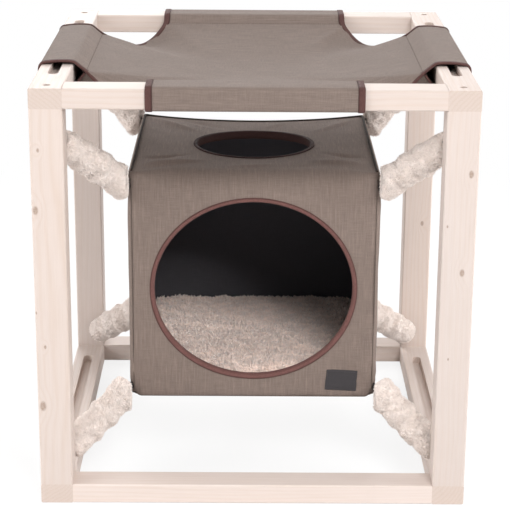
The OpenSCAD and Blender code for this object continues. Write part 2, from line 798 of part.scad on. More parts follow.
// One quarter of the cloth's outline: along the right seam, then along the free corner edge.
// An odd quarter q is drawn with width and depth changed over, then turned into place.
side_steps = 4;
corner_steps = 8;
corner_ease = 1.5;
function seam(q) = q % 2 == 0 ? [seam_x, seam_y] : [seam_y, seam_x];
function run(q) = q % 2 == 0 ? [tunnel_x, tunnel_y] : [tunnel_y, tunnel_x];
function corner_pt(q, t) = let (b = corner_bow * sin(180 * t) / sqrt(2), s = seam(q), r = run(q))
    [s[0] + (r[0] - s[0]) * t - b, r[1] + (s[1] - r[1]) * t - b,
        seam_z - corner_sag * pow(sin(180 * t), corner_ease)];
function quarter(q) = concat(
    [for (i = [-side_steps : side_steps - 1]) [seam(q)[0], run(q)[1] * i / side_steps, seam_z]],
    [for (i = [0 : corner_steps - 1]) corner_pt(q, i / corner_steps)]);
function turned(p, q) = let (c = cos(90 * q), s = sin(90 * q))
    [p[0] * c - p[1] * s, p[0] * s + p[1] * c, p[2]];
outline = [for (q = [0 : 3]) for (p = quarter(q)) turned(p, q)];
cloth_rings = 8;

// Height of the cloth at share u of the way to an outline point: a dish that is level at the middle
function cloth_pt(p, u) = [p[0] * u, p[1] * u,
    seam_z - cloth_sag * (1 - u * u) - (seam_z - p[2]) * u * u];

module hammock_cloth() {
    n = len(outline);
    upper = [for (t = [1 : cloth_rings]) for (p = outline) cloth_pt(p, t / cloth_rings)];
    lower = [for (p = upper) p - [0, 0, cloth_t]];
    m = len(upper);
    mid = [0, 0, seam_z - cloth_sag];
    edge = (cloth_rings - 1) * n;
    color(taupe) polyhedron(
        points = concat(upper, lower, [mid, mid - [0, 0, cloth_t]]),
        faces = concat(
            [for (j = [0 : n - 1]) [2 * m, (j + 1) % n, j]],
            [for (j = [0 : n - 1]) [2 * m + 1, m + j, m + (j + 1) % n]],
            [for (t = [0 : cloth_rings - 2]) each band(t * n, (t + 1) * n, n, true)],
            [for (t = [0 : cloth_rings - 2]) each band(m + t * n, m + (t + 1) * n, n, false)],
            band(edge, m + edge, n, true)),
        convexity = 6);
}

// Section of a sleeve round a rail, drawn to the right: x from the middle, y is height.
// Side q is counted as in the outline, and g grows the section.
module tunnel_section(q, g) {
    a = tunnel_gap;
    t = cloth_t + g;
    x0 = seam(q)[0];
    x1 = x0 + seam_in - a;
    x2 = x0 + seam_in + post_w + a;
    z0 = frame_h - rail_h - a;
    z1 = frame_h + a;
    difference() {
        polygon([[x0, seam_z + t / 2], [x1, z1 + t], [x2 + t, z1 + t], [x2 + t, z0 - t],
            [x1, z0 - t], [x0, seam_z - 3 * t / 2]]);
        polygon([[x0 + 2 * cloth_t, seam_z - t / 2], [x1, z1], [x2, z1], [x2, z0], [x1, z0]]);
    }
}

// Part of a sleeve from y0 to y1 along its rail
module tunnel_run(q, y0, y1, g) {
    rotate([0, 0, 90 * q]) translate([0, y1, 0]) rotate([90, 0, 0]) linear_extrude(y1 - y0)
        tunnel_section(q, g);
}

module tunnel(q) {
    y = run(q)[1] - edge_band;
    color(taupe) tunnel_run(q, -y, y, 0);
}

module tunnel_front() { tunnel(3); }
module tunnel_back() { tunnel(1); }
module tunnel_left() { tunnel(2); }
module tunnel_right() { tunnel(0); }

module tunnel_bindings() {
    color(russet) for (q = [0 : 3]) let (y = run(q)[1]) {
        tunnel_run(q, y - edge_band, y, cloth_t / 4);
        tunnel_run(q, -y, -y + edge_band, cloth_t / 4);
    }
}

// A band along each free corner edge, standing out from the edge of the cloth
module corner_binding(q) {
    b = cloth_t / 4;
    n = corner_steps;
    out = edge_band / sqrt(2);
    pts = [for (i = [0 : n]) let (p = corner_pt(q, i / n), o = out * sin(180 * i / n)) each [
        [p[0], p[1], p[2] + b], [p[0] + o, p[1] + o, p[2] + b],
        [p[0] + o, p[1] + o, p[2] - cloth_t - b], [p[0], p[1], p[2] - cloth_t - b]]];
    rotate([0, 0, 90 * q]) polyhedron(points = pts, convexity = 4, faces = concat(
        [for (i = [0 : n - 1]) each band(4 * i, 4 * (i + 1), 4, false)],
        [[0, 1, 2], [0, 2, 3], [4 * n, 4 * n + 2, 4 * n + 1], [4 * n, 4 * n + 3, 4 * n + 2]]));
}

module corner_bindings() {
    color(russet) for (q = [0 : 3]) corner_binding(q);
}

// Nodes

side_rail(true, false);  // side_rail_top_left
side_rail(true, true);  // side_rail_top_right
side_rail(false, false);  // side_rail_bottom_left
side_rail(false, true);  // side_rail_bottom_right
post(0);  // post_front_left
post(1);  // post_front_right
post(2);  // post_back_left
post(3);  // post_back_right
cross_rail(true, false);  // cross_rail_top_front
cross_rail(true, true);  // cross_rail_top_back
cross_rail(false, false);  // cross_rail_bottom_front
cross_rail(false, true);  // cross_rail_bottom_back
post_bolts();
rail_bolts();
inserts();
dowels();
screw_eyes();
snap_hooks();
gate(1, 0);  // gate_up_front_left
gate(1, 1);  // gate_up_front_right
gate(1, 2);  // gate_up_back_left
gate(1, 3);  // gate_up_back_right
gate(0, 0);  // gate_low_front_left
gate(0, 1);  // gate_low_front_right
gate(0, 2);  // gate_low_back_left
gate(0, 3);  // gate_low_back_right
strap_cords();
plush_sleeve(1, 0);  // sleeve_up_front_left
plush_sleeve(1, 1);  // sleeve_up_front_right
plush_sleeve(1, 2);  // sleeve_up_back_left
plush_sleeve(1, 3);  // sleeve_up_back_right
plush_sleeve(0, 0);  // sleeve_low_front_left
plush_sleeve(0, 1);  // sleeve_low_front_right
plush_sleeve(0, 2);  // sleeve_low_back_left
plush_sleeve(0, 3);  // sleeve_low_back_right
corner_rings();
corner_tabs();
house_cover();
house_lining();
board_front();
board_back();
board_left();
board_right();
board_top();
board_bottom();
entry_binding();
hatch_binding();
top_piping();
cloth_patch();
cushion();
hammock_cloth();
tunnel_front();
tunnel_back();
tunnel_left();
tunnel_right();
tunnel_bindings();
corner_bindings();
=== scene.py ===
"""Cat condo: the looks of an open timber cube with a soft house hung inside it and a hammock on top.

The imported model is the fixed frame. Timber and metal keep their solids and get finishes here; every soft
piece is made anew. Metres, +Z up, the front faces -Y.
"""

import math

import bpy
import numpy as np
from mathutils import Matrix, Vector


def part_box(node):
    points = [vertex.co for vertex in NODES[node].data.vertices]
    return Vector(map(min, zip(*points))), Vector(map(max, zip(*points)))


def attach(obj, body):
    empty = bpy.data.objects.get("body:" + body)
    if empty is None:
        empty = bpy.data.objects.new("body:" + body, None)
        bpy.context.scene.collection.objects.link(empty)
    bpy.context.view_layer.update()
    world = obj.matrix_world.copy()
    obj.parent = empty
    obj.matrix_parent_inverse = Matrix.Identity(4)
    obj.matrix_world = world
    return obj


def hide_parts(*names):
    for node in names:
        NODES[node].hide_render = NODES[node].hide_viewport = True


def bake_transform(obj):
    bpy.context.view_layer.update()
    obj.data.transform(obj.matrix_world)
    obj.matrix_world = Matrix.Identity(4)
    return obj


bl_info = {
    "name": "Cat condo",
    "version": (1, 0, 0),
    "blender": (4, 5, 0),
    "location": "3D View > Sidebar > Cat condo",
    "description": "Dresses the packed cat condo: timber, hardware, hammock, hanging house and straps",
    "category": "Object",
}

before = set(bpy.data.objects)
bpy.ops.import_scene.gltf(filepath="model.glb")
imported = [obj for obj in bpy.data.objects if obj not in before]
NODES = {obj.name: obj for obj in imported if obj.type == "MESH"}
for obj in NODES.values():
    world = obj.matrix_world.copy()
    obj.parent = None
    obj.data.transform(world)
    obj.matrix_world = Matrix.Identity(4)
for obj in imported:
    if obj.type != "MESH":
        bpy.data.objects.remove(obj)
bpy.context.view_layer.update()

MM = 0.001
TAU = 2 * math.pi


def solid_box(node):
    """A solid's low and high corner."""
    low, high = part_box(node)
    return np.array(low), np.array(high)


# Places taken from the solids
HOUSE_LOW, HOUSE_HIGH = solid_box("house_cover")
HATCH_LOW, HATCH_HIGH = solid_box("hatch_binding")
ENTRY_LOW, ENTRY_HIGH = solid_box("entry_binding")
RAIL_LOW, RAIL_HIGH = solid_box("side_rail_top_right")
CUSHION_LOW, CUSHION_HIGH = solid_box("cushion")
PATCH_LOW, PATCH_HIGH = solid_box("cloth_patch")
CLOTH_HIGH = solid_box("hammock_cloth")[1]

# House: radii of the upright edges, of the top edge and of the lower corners, and the wall under a binding
HOUSE_HALF = float(HOUSE_HIGH[0])
HOUSE_EDGE = 12 * MM
EDGE_R = 10 * MM
LOW_EDGE_R = 9 * MM
LOW_CORNER = 17 * MM
WALL = 9.5 * MM

# The solids' binding is BINDING_WIDTH wide; the tape drawn over it is narrower
BINDING_WIDTH = 8.5 * MM
TAPE_WIDTH = BINDING_WIDTH - 2.0 * MM
TAPE_STITCH = BINDING_WIDTH - 3.4 * MM
HATCH_AT = (HATCH_LOW + HATCH_HIGH) / 2
HATCH_R = float(HATCH_HIGH[0]) - BINDING_WIDTH
ENTRY_AT = (ENTRY_LOW + ENTRY_HIGH) / 2
ENTRY_A = float(ENTRY_HIGH[0]) - BINDING_WIDTH
ENTRY_B = float(ENTRY_HIGH[2] - ENTRY_LOW[2]) / 2 - BINDING_WIDTH
HOLE_ROOM = 1.2 * MM

# Points on each straight side and each rounded corner of the house, seen from above
SIDE_POINTS = 84
SIDE_MIDDLE = SIDE_POINTS // 2
CORNER_POINTS = 5
PER_SIDE = SIDE_POINTS + CORNER_POINTS

# Hammock: its seam beside the rails, the half length of a sleeve and the cloth's thickness
SEAM = float(CLOTH_HIGH[0])
SEAM_Z = float(CLOTH_HIGH[2])
SLEEVE_END = 145 * MM
CLOTH_T = 1.6 * MM

# Straps at the front left corner: the middle of the screw eye, and the point where the tab leaves the house
STRAP_EYE = {
    "up": np.array([-268.0, -244.5, 516.0]) * MM,
    "low": np.array([-268.0, -244.5, 55.0]) * MM,
}
STRAP_TAB = {
    "up": np.array([-176.485, -176.485, 432.0]) * MM,
    "low": np.array([-176.485, -176.485, 131.0]) * MM,
}
CORNERS = {"front_left": (1, 1), "front_right": (-1, 1), "back_left": (1, -1), "back_right": (-1, -1)}
POST_FACE = 255 * MM
SLEEVE_LAP = 5 * MM
HOOK_END = 43 * MM
LOOP_NEAR = 40.7 * MM
LOOP_FAR = 24.8 * MM
LOOP_R = 6 * MM
LOOP_CORD = 2.5 * MM
CORD_R = 3.5 * MM
QUARTER_TURNS = ((1, 0), (0, 1), (-1, 0), (0, -1))


# Numbers and lines


def noise(points, size, seed=0):
    """Smooth noise from -1 to 1 at points (n, 3), in patches of the given size."""
    q = np.asarray(points, float) / size + 91.7
    cell = np.floor(q).astype(np.int64)
    f = q - cell
    f = f * f * f * (f * (f * 6 - 15) + 10)
    total = np.zeros(len(q))
    for dx in (0, 1):
        for dy in (0, 1):
            for dz in (0, 1):
                h = (cell[:, 0] + dx) * 374761393 + (cell[:, 1] + dy) * 668265263
                h = (h + (cell[:, 2] + dz) * 2147483647 + seed * 1274126177) & 0xFFFFFFFF
                h = ((h ^ (h >> 13)) * 1274126177) & 0xFFFFFFFF
                value = ((h ^ (h >> 16)) & 0xFFFF) / 32767.5 - 1
                weight = np.where(dx, f[:, 0], 1 - f[:, 0]) * np.where(dy, f[:, 1], 1 - f[:, 1])
                total += value * weight * np.where(dz, f[:, 2], 1 - f[:, 2])
    return total


def smooth(low, high, x):
    """A smooth step from 0 at low to 1 at high."""
    t = np.clip((np.asarray(x, float) - low) / (high - low), 0, 1)
    return t * t * (3 - 2 * t)


def unit(v):
    v = np.asarray(v, float)
    return v / np.maximum(np.linalg.norm(v, axis=-1, keepdims=True), 1e-12)


def rows_to_faces(rows, across, start=0, closed=True, flip=False, ring=False):
    """Quads between rows of points, each `across` points long; a ring joins the last row to the first."""
    faces = []
    for r in range(rows if ring else rows - 1):
        here = start + r * across
        there = start + (r + 1) % rows * across
        for i in range(across if closed else across - 1):
            j = (i + 1) % across
            face = (here + i, here + j, there + j, there + i)
            faces.append((face[0], face[3], face[2], face[1]) if flip else face)
    return faces


def run_along(points):
    """Length from the first point to each point of a line."""
    step = np.linalg.norm(np.diff(points, axis=0), axis=1)
    return np.concatenate([[0], np.cumsum(step)])


def resample(points, count, closed=False):
    """The line with count points at even steps; a closed line comes with its first point again at the end."""
    along = run_along(points)
    at = np.linspace(0, along[-1], count, endpoint=not closed)
    return np.stack([np.interp(at, along, points[:, k]) for k in range(points.shape[1])], 1)


def angles(count):
    """Even steps round a full turn."""
    return np.arange(count) * TAU / count


def at_height(xy, z):
    """Points (n, 3) from points seen from above and a height or heights."""
    return np.column_stack([xy, np.broadcast_to(z, len(xy))])


def turned(points, quarter):
    """Points turned about the upright axis by quarter turns."""
    c, s = QUARTER_TURNS[quarter]
    p = np.asarray(points, float)
    return np.stack([p[..., 0] * c - p[..., 1] * s, p[..., 0] * s + p[..., 1] * c, p[..., 2]], -1)


# Meshes


def link(name, data):
    """An object with the given data, put into the scene."""
    thing = bpy.data.objects.new(name, data)
    bpy.context.scene.collection.objects.link(thing)
    return thing


def make_piece(name, verts, faces, materials, uv=None):
    """A mesh object at the origin. uv is one pair per corner of a face, in metres along the cloth."""
    mesh = bpy.data.meshes.new(name)
    mesh.from_pydata(np.asarray(verts, float).tolist(), [], [tuple(int(i) for i in f) for f in faces])
    for material in materials:
        mesh.materials.append(material)
    if uv is not None:
        mesh.uv_layers.new(name="weave").uv.foreach_set("vector", np.asarray(uv, np.float32).ravel())
    mesh.polygons.foreach_set("use_smooth", np.ones(len(mesh.polygons), bool))
    mesh.update()
    return link(name, mesh)


def enter(piece, slot, body, *nodes):
    if nodes:
        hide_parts(*nodes)
    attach(piece, body)


def corner_uv(faces, pairs):
    """The pair of each corner of each face, from one pair per point."""
    return [pairs[i] for f in faces for i in f]


def compact(verts, faces):
    """The points that the faces use, and the faces numbered to match."""
    used = sorted({v for f in faces for v in f})
    place = {v: k for k, v in enumerate(used)}
    return verts[used], [tuple(place[v] for v in f) for f in faces]


def points_of(mesh):
    """A mesh's points as an array (n, 3)."""
    flat = np.zeros(len(mesh.vertices) * 3)
    mesh.vertices.foreach_get("co", flat)
    return flat.reshape(-1, 3)


def move_points(mesh, points):
    mesh.vertices.foreach_set("co", points.ravel())
    mesh.update()


def settle(piece):
    """Applies the piece's modifiers, so that a plain mesh is left."""
    bpy.context.view_layer.update()
    graph = bpy.context.evaluated_depsgraph_get()
    done = piece.evaluated_get(graph)
    mesh = bpy.data.meshes.new_from_object(done, preserve_all_data_layers=True, depsgraph=graph)
    old = piece.data
    piece.modifiers.clear()
    piece.data = mesh
    mesh.name = piece.name
    if old.users == 0:
        bpy.data.meshes.remove(old)
    return piece


def thicken(piece, thickness):
    """Gives a surface a thickness, on its inner side."""
    mod = piece.modifiers.new("Thickness", "SOLIDIFY")
    mod.thickness = thickness
    mod.offset = -1
    mod.use_even_offset = True
    mod.use_quality_normals = True
    return settle(piece)


def carried(path, side, up, profile):
    """A profile at each point of a path; side and up give the profile's two directions."""
    return path[:, None] + side[:, None] * profile[None, :, :1] + up[:, None] * profile[None, :, 1:]


def sweep(path, side, up, profile, closed=False):
    """Points and faces of a closed profile carried along a path, with flat ends if the path is open."""
    n, m = len(path), len(profile)
    faces = rows_to_faces(n, m, ring=closed)
    if not closed:
        faces += [tuple(range(m - 1, -1, -1)), tuple((n - 1) * m + i for i in range(m))]
    return carried(path, side, up, profile).reshape(-1, 3), faces


def tape_pairs(path, profile):
    """Cloth map of a swept tape, in metres along it and across it."""
    return np.stack([np.repeat(run_along(path), len(profile)), np.tile(run_along(profile), len(path))], 1)


def turned_over(faces):
    """The faces, each seen from its other side."""
    return [tuple(reversed(f)) for f in faces]


def outward(verts, faces):
    """The faces, turned round if the closed shape would be inside out."""
    v = np.asarray(verts)
    volume = 0.0
    for f in faces:
        for k in range(1, len(f) - 1):
            volume += np.dot(v[f[0]], np.cross(v[f[k]], v[f[k + 1]]))
    return faces if volume > 0 else turned_over(faces)


def join_shapes(shapes):
    """Several points-and-faces pairs as one."""
    verts, faces, base = [], [], 0
    for v, f in shapes:
        verts.append(np.asarray(v))
        faces += [tuple(i + base for i in face) for face in f]
        base += len(v)
    return np.vstack(verts), faces


def tube(path, radius, sides, closed=False):
    """A round tube along a path; its ends are closed by discs."""
    path = np.asarray(path, float)
    if closed:
        tangent = unit(np.roll(path, -1, 0) - np.roll(path, 1, 0))
    else:
        tangent = unit(np.gradient(path, axis=0))
    ref = np.array([0.0, 0.0, 1.0])
    side = []
    last = unit(np.cross(tangent[0], ref if abs(tangent[0] @ ref) < 0.9 else [1.0, 0, 0]))
    for t in tangent:
        last = unit(last - t * (last @ t))
        side.append(last)
    side = np.array(side)
    profile = np.stack([np.cos(angles(sides)), np.sin(angles(sides))], 1) * radius
    verts, faces = sweep(path, side, np.cross(tangent, side), profile, closed)
    return verts, outward(verts, faces)


# Shader nodes

RANGE_INPUTS = ("Value", "From Min", "From Max", "To Min", "To Max")


class Nodes:
    """A node tree, built in few words. A kind that names no family is a shader node."""

    def __init__(self, tree):
        self.tree = tree

    def node(self, kind, links=None, **settings):
        n = self.tree.nodes.new(kind if "Node" in kind else "ShaderNode" + kind)
        for key, value in settings.items():
            setattr(n, key, value)
        for key, value in (links or {}).items():
            self.put(n.inputs[key], value)
        return n

    def put(self, socket, value):
        if isinstance(value, bpy.types.NodeSocket):
            self.tree.links.new(value, socket)
        elif socket.type == "RGBA":
            socket.default_value = (*value, 1)
        else:
            socket.default_value = value

    def math(self, op, a, b=0.0, c=0.0):
        return self.node("Math", {0: a, 1: b, 2: c}, operation=op).outputs[0]

    def vec(self, op, a, b=(0, 0, 0), scale=1.0):
        n = self.node("VectorMath", {0: a, 1: b}, operation=op)
        if op == "SCALE":
            self.put(n.inputs["Scale"], scale)
        return n.outputs["Value" if op in ("LENGTH", "DOT_PRODUCT") else "Vector"]

    def seen(self):
        """1 for rays that are looked along, also in a mirror or glass, and 0 for rays that give light."""
        path = self.node("LightPath").outputs
        either = self.math("MAXIMUM", path["Is Glossy Ray"], path["Is Transmission Ray"])
        return self.math("MAXIMUM", path["Is Camera Ray"], either)


class Shader(Nodes):
    """A material's nodes, around its Principled BSDF."""

    def __init__(self, name, roughness):
        self.material = bpy.data.materials.new(name)
        self.material.use_nodes = True
        super().__init__(self.material.node_tree)
        self.out = self.tree.nodes["Principled BSDF"]
        self.set("Roughness", roughness)

    def set(self, name, value):
        self.put(self.out.inputs[name], value)

    def mix(self, fac, a, b):
        """One colour laid over another by a share."""
        return self.node("Mix", {0: fac, 6: a, 7: b}, data_type="RGBA").outputs[2]

    def pick(self, fac, a, b):
        """One number or another by a share."""
        return self.node("Mix", {0: fac, 2: a, 3: b}, data_type="FLOAT").outputs[0]

    def range(self, value, low, high, to_low=0.0, to_high=1.0):
        """A smooth step from to_low to to_high, while the value goes from low to high."""
        links = dict(zip(RANGE_INPUTS, (value, low, high, to_low, to_high)))
        return self.node("MapRange", links, interpolation_type="SMOOTHSTEP").outputs[0]

    def noise(self, vector, scale=1.0, detail=2.0, rough=0.5, shift=(0, 0, 0)):
        """Noise at a scaled vector; three scales stretch it, and can shift it."""
        if isinstance(scale, tuple):
            vector = self.node("Mapping", {"Vector": vector, "Scale": scale, "Location": shift}).outputs[0]
        else:
            vector = self.vec("SCALE", vector, scale=scale)
        links = {"Vector": vector, "Scale": 1.0, "Detail": detail, "Roughness": rough}
        return self.node("TexNoise", links).outputs["Fac"]

    def place(self):
        return self.node("TexCoord").outputs["Object"]

    def cloth_map(self):
        return self.node("UVMap", uv_map="weave").outputs["UV"]

    def parts(self, vector):
        return self.node("SeparateXYZ", {0: vector}).outputs

    def bump(self, height, distance, strength):
        n = self.node("Bump", {"Height": height, "Distance": distance, "Strength": strength})
        self.set("Normal", n.outputs[0])


def tint(color, *factors):
    """A colour times one factor, or times a factor for each channel, up to full."""
    each = factors if len(factors) == 3 else factors * 3
    return tuple(min(c * f, 1.0) for c, f in zip(color, each))


# Finishes

RING_PITCH = 5.2 * MM
KNOT_COLOR = (0.29, 0.20, 0.15)
TWILL_PITCH = 0.75 * MM


def pine_finish(name, axis, seed, base, knots, tone):
    """Pale pine with its grain along one axis: year rings, fibres, end grain and small knots."""
    s = Shader(name, 0.62)
    place = s.place()
    parts = s.parts(place)
    cross = [parts[k] for k in range(3) if k != axis]

    def lengthwise(along_scale, cross_scale):
        """The place with the grain's direction first, scaled along the grain and across it."""
        scaled = [s.math("MULTIPLY", parts[axis], along_scale)]
        scaled += [s.math("MULTIPLY", c, cross_scale) for c in cross]
        return s.node("CombineXYZ", dict(enumerate(scaled))).outputs[0]

    rnd = np.random.default_rng(seed)
    pith = rnd.uniform(0.03, 0.07, 2) * rnd.choice([-1, 1], 2)
    shift = [rnd.uniform(-1, 1) for _ in range(2)]
    grain = lengthwise(2.2, 14.0)
    wander = s.noise(s.vec("ADD", grain, (seed * 3.1, *shift)))
    low, high = solid_box(name)
    middle = np.delete((low + high) / 2, axis) + pith
    offsets = [s.math("SUBTRACT", c, float(m)) for c, m in zip(cross, middle)]
    radius = s.math("SQRT", s.math("ADD", *(s.math("MULTIPLY", d, d) for d in offsets)))
    radius = s.math("MULTIPLY_ADD", wander, 0.022, radius)
    squash = tuple(0.62 if k == axis else 1.0 for k in range(3))
    mask = None
    for at, size in knots:
        far = s.vec("LENGTH", s.vec("MULTIPLY", s.vec("SUBTRACT", place, at), squash))
        radius = s.math("MULTIPLY_ADD", s.range(far, size * 0.6, size * 4.5, 1.0, 0.0), 0.0065, radius)
        spot = s.range(far, size * 0.55, size * 1.15, 1.0, 0.0)
        mask = spot if mask is None else s.math("MAXIMUM", mask, spot)
    wave = s.math("SINE", s.math("MULTIPLY", radius, TAU / RING_PITCH))
    ring = s.math("POWER", s.math("MULTIPLY_ADD", wave, 0.5, 0.5), 2.6)
    fibre = s.noise(lengthwise(16.0, 620.0), 1.0, 3.0, 0.6)
    cloud = s.noise(s.vec("ADD", grain, (7.3, seed * 1.7, 0)), 0.7)
    late = s.math("MULTIPLY", ring, s.range(cloud, 0.3, 0.75, 0.25, 0.85))
    color = s.mix(late, tint(base, tone), tint(base, 0.95, 0.905, 0.86))
    color = s.mix(s.range(cloud, 0.25, 0.8, 0.0, 0.35), color, tint(base, 0.99, 0.92, 0.85))
    color = s.mix(s.range(fibre, 0.35, 0.75, 0.0, 0.14), color, tint(base, 0.72, 0.62, 0.52))
    normal = s.node("NewGeometry").outputs["True Normal"]
    facing = s.vec("DOT_PRODUCT", normal, tuple(float(k == axis) for k in range(3)))
    end = s.math("GREATER_THAN", s.math("ABSOLUTE", facing), 0.8)
    pores = s.noise(place, 900.0)
    end_color = s.mix(ring, tint(base, 0.91, 0.875, 0.845), tint(base, 0.88, 0.83, 0.78))
    end_color = s.mix(s.range(pores, 0.5, 0.72, 0.0, 0.3), end_color, tint(base, 0.62, 0.5, 0.4))
    color = s.mix(end, color, end_color)
    if mask is not None:
        rim = s.range(s.noise(place, 420.0), 0.25, 0.7, 0.5, 0.85)
        color = s.mix(s.math("MULTIPLY", mask, rim), color, KNOT_COLOR)
    s.set("Base Color", color)
    s.set("Roughness", s.range(fibre, 0.2, 0.8, 0.52, 0.72))
    s.set("Specular IOR Level", 0.35)
    s.bump(s.math("ADD", s.math("MULTIPLY", fibre, 0.7), s.math("MULTIPLY", ring, 0.35)), 0.0003, 0.5)
    return s.material


def metal_finish(name, color, roughness):
    """Plated metal with fine brushing and dull spots."""
    s = Shader(name, roughness)
    place = s.place()
    spots = s.noise(place, 260.0, 4.0, 0.6)
    brush = s.noise(place, (1800.0, 1800.0, 120.0))
    dull = s.math("ADD", spots, s.math("MULTIPLY", brush, 0.4))
    s.set("Base Color", s.mix(s.range(spots, 0.45, 0.75, 0.0, 0.25), color, tint(color, 0.45)))
    s.set("Metallic", 1.0)
    s.set("Roughness", s.range(dull, 0.4, 1.0, roughness, roughness + 0.25))
    s.bump(brush, 0.00005, 0.4)
    return s.material


def woven_finish(name, color, pitch=1.0 * MM, contrast=0.2, streak=0.55, sheen=0.06):
    """Plain-weave melange cloth on the piece's own cloth map."""
    s = Shader(name, 0.92)
    flat = s.cloth_map()
    parts = s.parts(flat)
    squares = s.vec("SCALE", flat, scale=1 / pitch)
    colors = {"Color1": (1, 1, 1), "Color2": (0, 0, 0)}
    over = s.node("TexChecker", {"Vector": squares, "Scale": 1.0, **colors}).outputs["Fac"]
    waves = [s.math("SINE", s.math("MULTIPLY", parts[k], math.pi / pitch)) for k in (0, 1)]
    height = s.pick(over, *(s.math("ABSOLUTE", wave) for wave in waves))
    weft_yarn = s.noise(flat, (46.0, 900.0, 1.0), 3.0, 0.62)
    warp_yarn = s.noise(flat, (900.0, 46.0, 1.0), 3.0, 0.62, (5.0, 3.0, 0.0))
    yarn = s.pick(over, weft_yarn, warp_yarn)
    slub = s.noise(flat, (26.0, 420.0, 1.0), 2.0, 0.5, (9.0, 2.0, 0.0))
    cloud = s.noise(s.place(), 16.0, 3.0)
    shade = s.mix(s.range(yarn, 0.3, 0.7), tint(color, 1 - contrast), tint(color, 1 + contrast))
    shade = s.mix(s.range(slub, 0.52, 0.74, 0.0, streak), shade, tint(color, 1 + 1.9 * contrast))
    shade = s.mix(s.range(slub, 0.46, 0.26, 0.0, streak), shade, tint(color, 1 - 1.3 * contrast))
    # Painted shade: the hollows between the yarns are drawn darker
    shade = s.mix(s.range(height, 0.0, 0.5, 0.3, 0.0), shade, tint(color, 0.6))
    shade = s.mix(s.range(cloud, 0.3, 0.7, 0.0, 0.22), shade, tint(color, 0.86))
    s.set("Base Color", shade)
    s.set("Roughness", s.range(yarn, 0.2, 0.8, 0.84, 0.98))
    s.set("Specular IOR Level", 0.2)
    s.set("Sheen Weight", sheen)
    s.set("Sheen Roughness", 0.5)
    s.bump(s.math("ADD", height, s.math("MULTIPLY", yarn, 0.6)), 0.00028, 0.7)
    return s.material


def tape_finish(name, color, sheen=0.03):
    """Bias binding: fine slanted twill with a slight lustre, and painted shade in the twill's grooves and
    along its stitched edge.
    """
    s = Shader(name, 0.6)
    flat = s.cloth_map()
    parts = s.parts(flat)
    slant = s.math("ADD", parts[0], parts[1])
    twill = s.math("SINE", s.math("MULTIPLY", slant, TAU / TWILL_PITCH))
    yarn = s.noise(flat, (260.0, 900.0, 1.0), 3.0, 0.6)
    cloud = s.noise(s.place(), 55.0, 3.0)
    shade = s.mix(s.range(yarn, 0.3, 0.7), tint(color, 0.82), tint(color, 1.2))
    # Painted shade: the twill's grooves are drawn darker
    shade = s.mix(s.range(twill, -0.2, 0.9, 0.28, 0.0), shade, tint(color, 0.5))
    shade = s.mix(s.range(cloud, 0.42, 0.75, 0.0, 0.3), shade, tint(color, 1.35))
    # Painted shade: darker along the stitched edge, where the tape dips at the seam
    shade = s.mix(s.range(parts[1], 1.4 * MM, 3.2 * MM, 0.62, 0.0), shade, tint(color, 0.4))
    s.set("Base Color", shade)
    s.set("Roughness", s.range(yarn, 0.2, 0.8, 0.74, 0.92))
    s.set("Specular IOR Level", 0.15)
    s.set("Sheen Weight", sheen)
    s.bump(s.math("ADD", s.math("MULTIPLY", twill, 0.5), yarn), 0.00018, 0.6)
    return s.material


def plush_finish(name, color, pile_shade, sheen=0.4, tuft_shade=0.08, strand=0.1, strands=1100.0):
    """Soft pile: clumps of fibre in slightly different tones, the darker ones with painted shade deep in the
    pile, mottled patches of painted shade where tufts shade each other, and a sheen.
    """
    s = Shader(name, 1.0)
    place = s.place()
    clump = s.noise(place, 150.0, 3.0, 0.55)
    hair = s.noise(place, strands)
    cloud = s.noise(place, 28.0)
    tuft = s.noise(place, (55.0, 95.0, 95.0), 4.0, 0.62)
    # Clumps differ in tone; their darker end is also painted shade deep in the pile
    shade = s.mix(s.range(clump, 0.3, 0.68), tint(color, pile_shade), tint(color, 1.04))
    # Painted shade: mottled patches where tufts shade each other
    shade = s.mix(s.range(tuft, 0.57, 0.46, 0.0, tuft_shade), shade, tint(color, 0.62))
    shade = s.mix(s.range(hair, 0.4, 0.62, 0.0, strand), shade, tint(color, 0.6))
    shade = s.mix(s.range(cloud, 0.35, 0.7, 0.0, 0.25), shade, tint(color, 0.98, 0.94, 0.9))
    s.set("Base Color", shade)
    s.set("Specular IOR Level", 0.1)
    s.set("Sheen Weight", sheen)
    s.set("Sheen Roughness", 0.6)
    s.set("Roughness", s.range(hair, 0.2, 0.8, 0.9, 1.0))
    s.bump(s.math("ADD", clump, s.math("MULTIPLY", hair, 0.5)), 0.0012, 0.6)
    return s.material


def felt_finish(name, color, scale=420.0):
    """Pressed felt, webbing, thread and cord: matted fibres without a weave."""
    s = Shader(name, 0.95)
    place = s.place()
    mat = s.noise(place, scale, 4.0, 0.65)
    cloud = s.noise(place, 40.0)
    shade = s.mix(s.range(mat, 0.3, 0.7), tint(color, 0.72), tint(color, 1.25))
    s.set("Base Color", s.mix(s.range(cloud, 0.4, 0.75, 0.0, 0.25), shade, tint(color, 0.8)))
    s.set("Roughness", s.range(mat, 0.2, 0.8, 0.85, 1.0))
    s.set("Specular IOR Level", 0.2)
    s.bump(mat, 0.0004, 0.6)
    return s.material


FINISH = {}


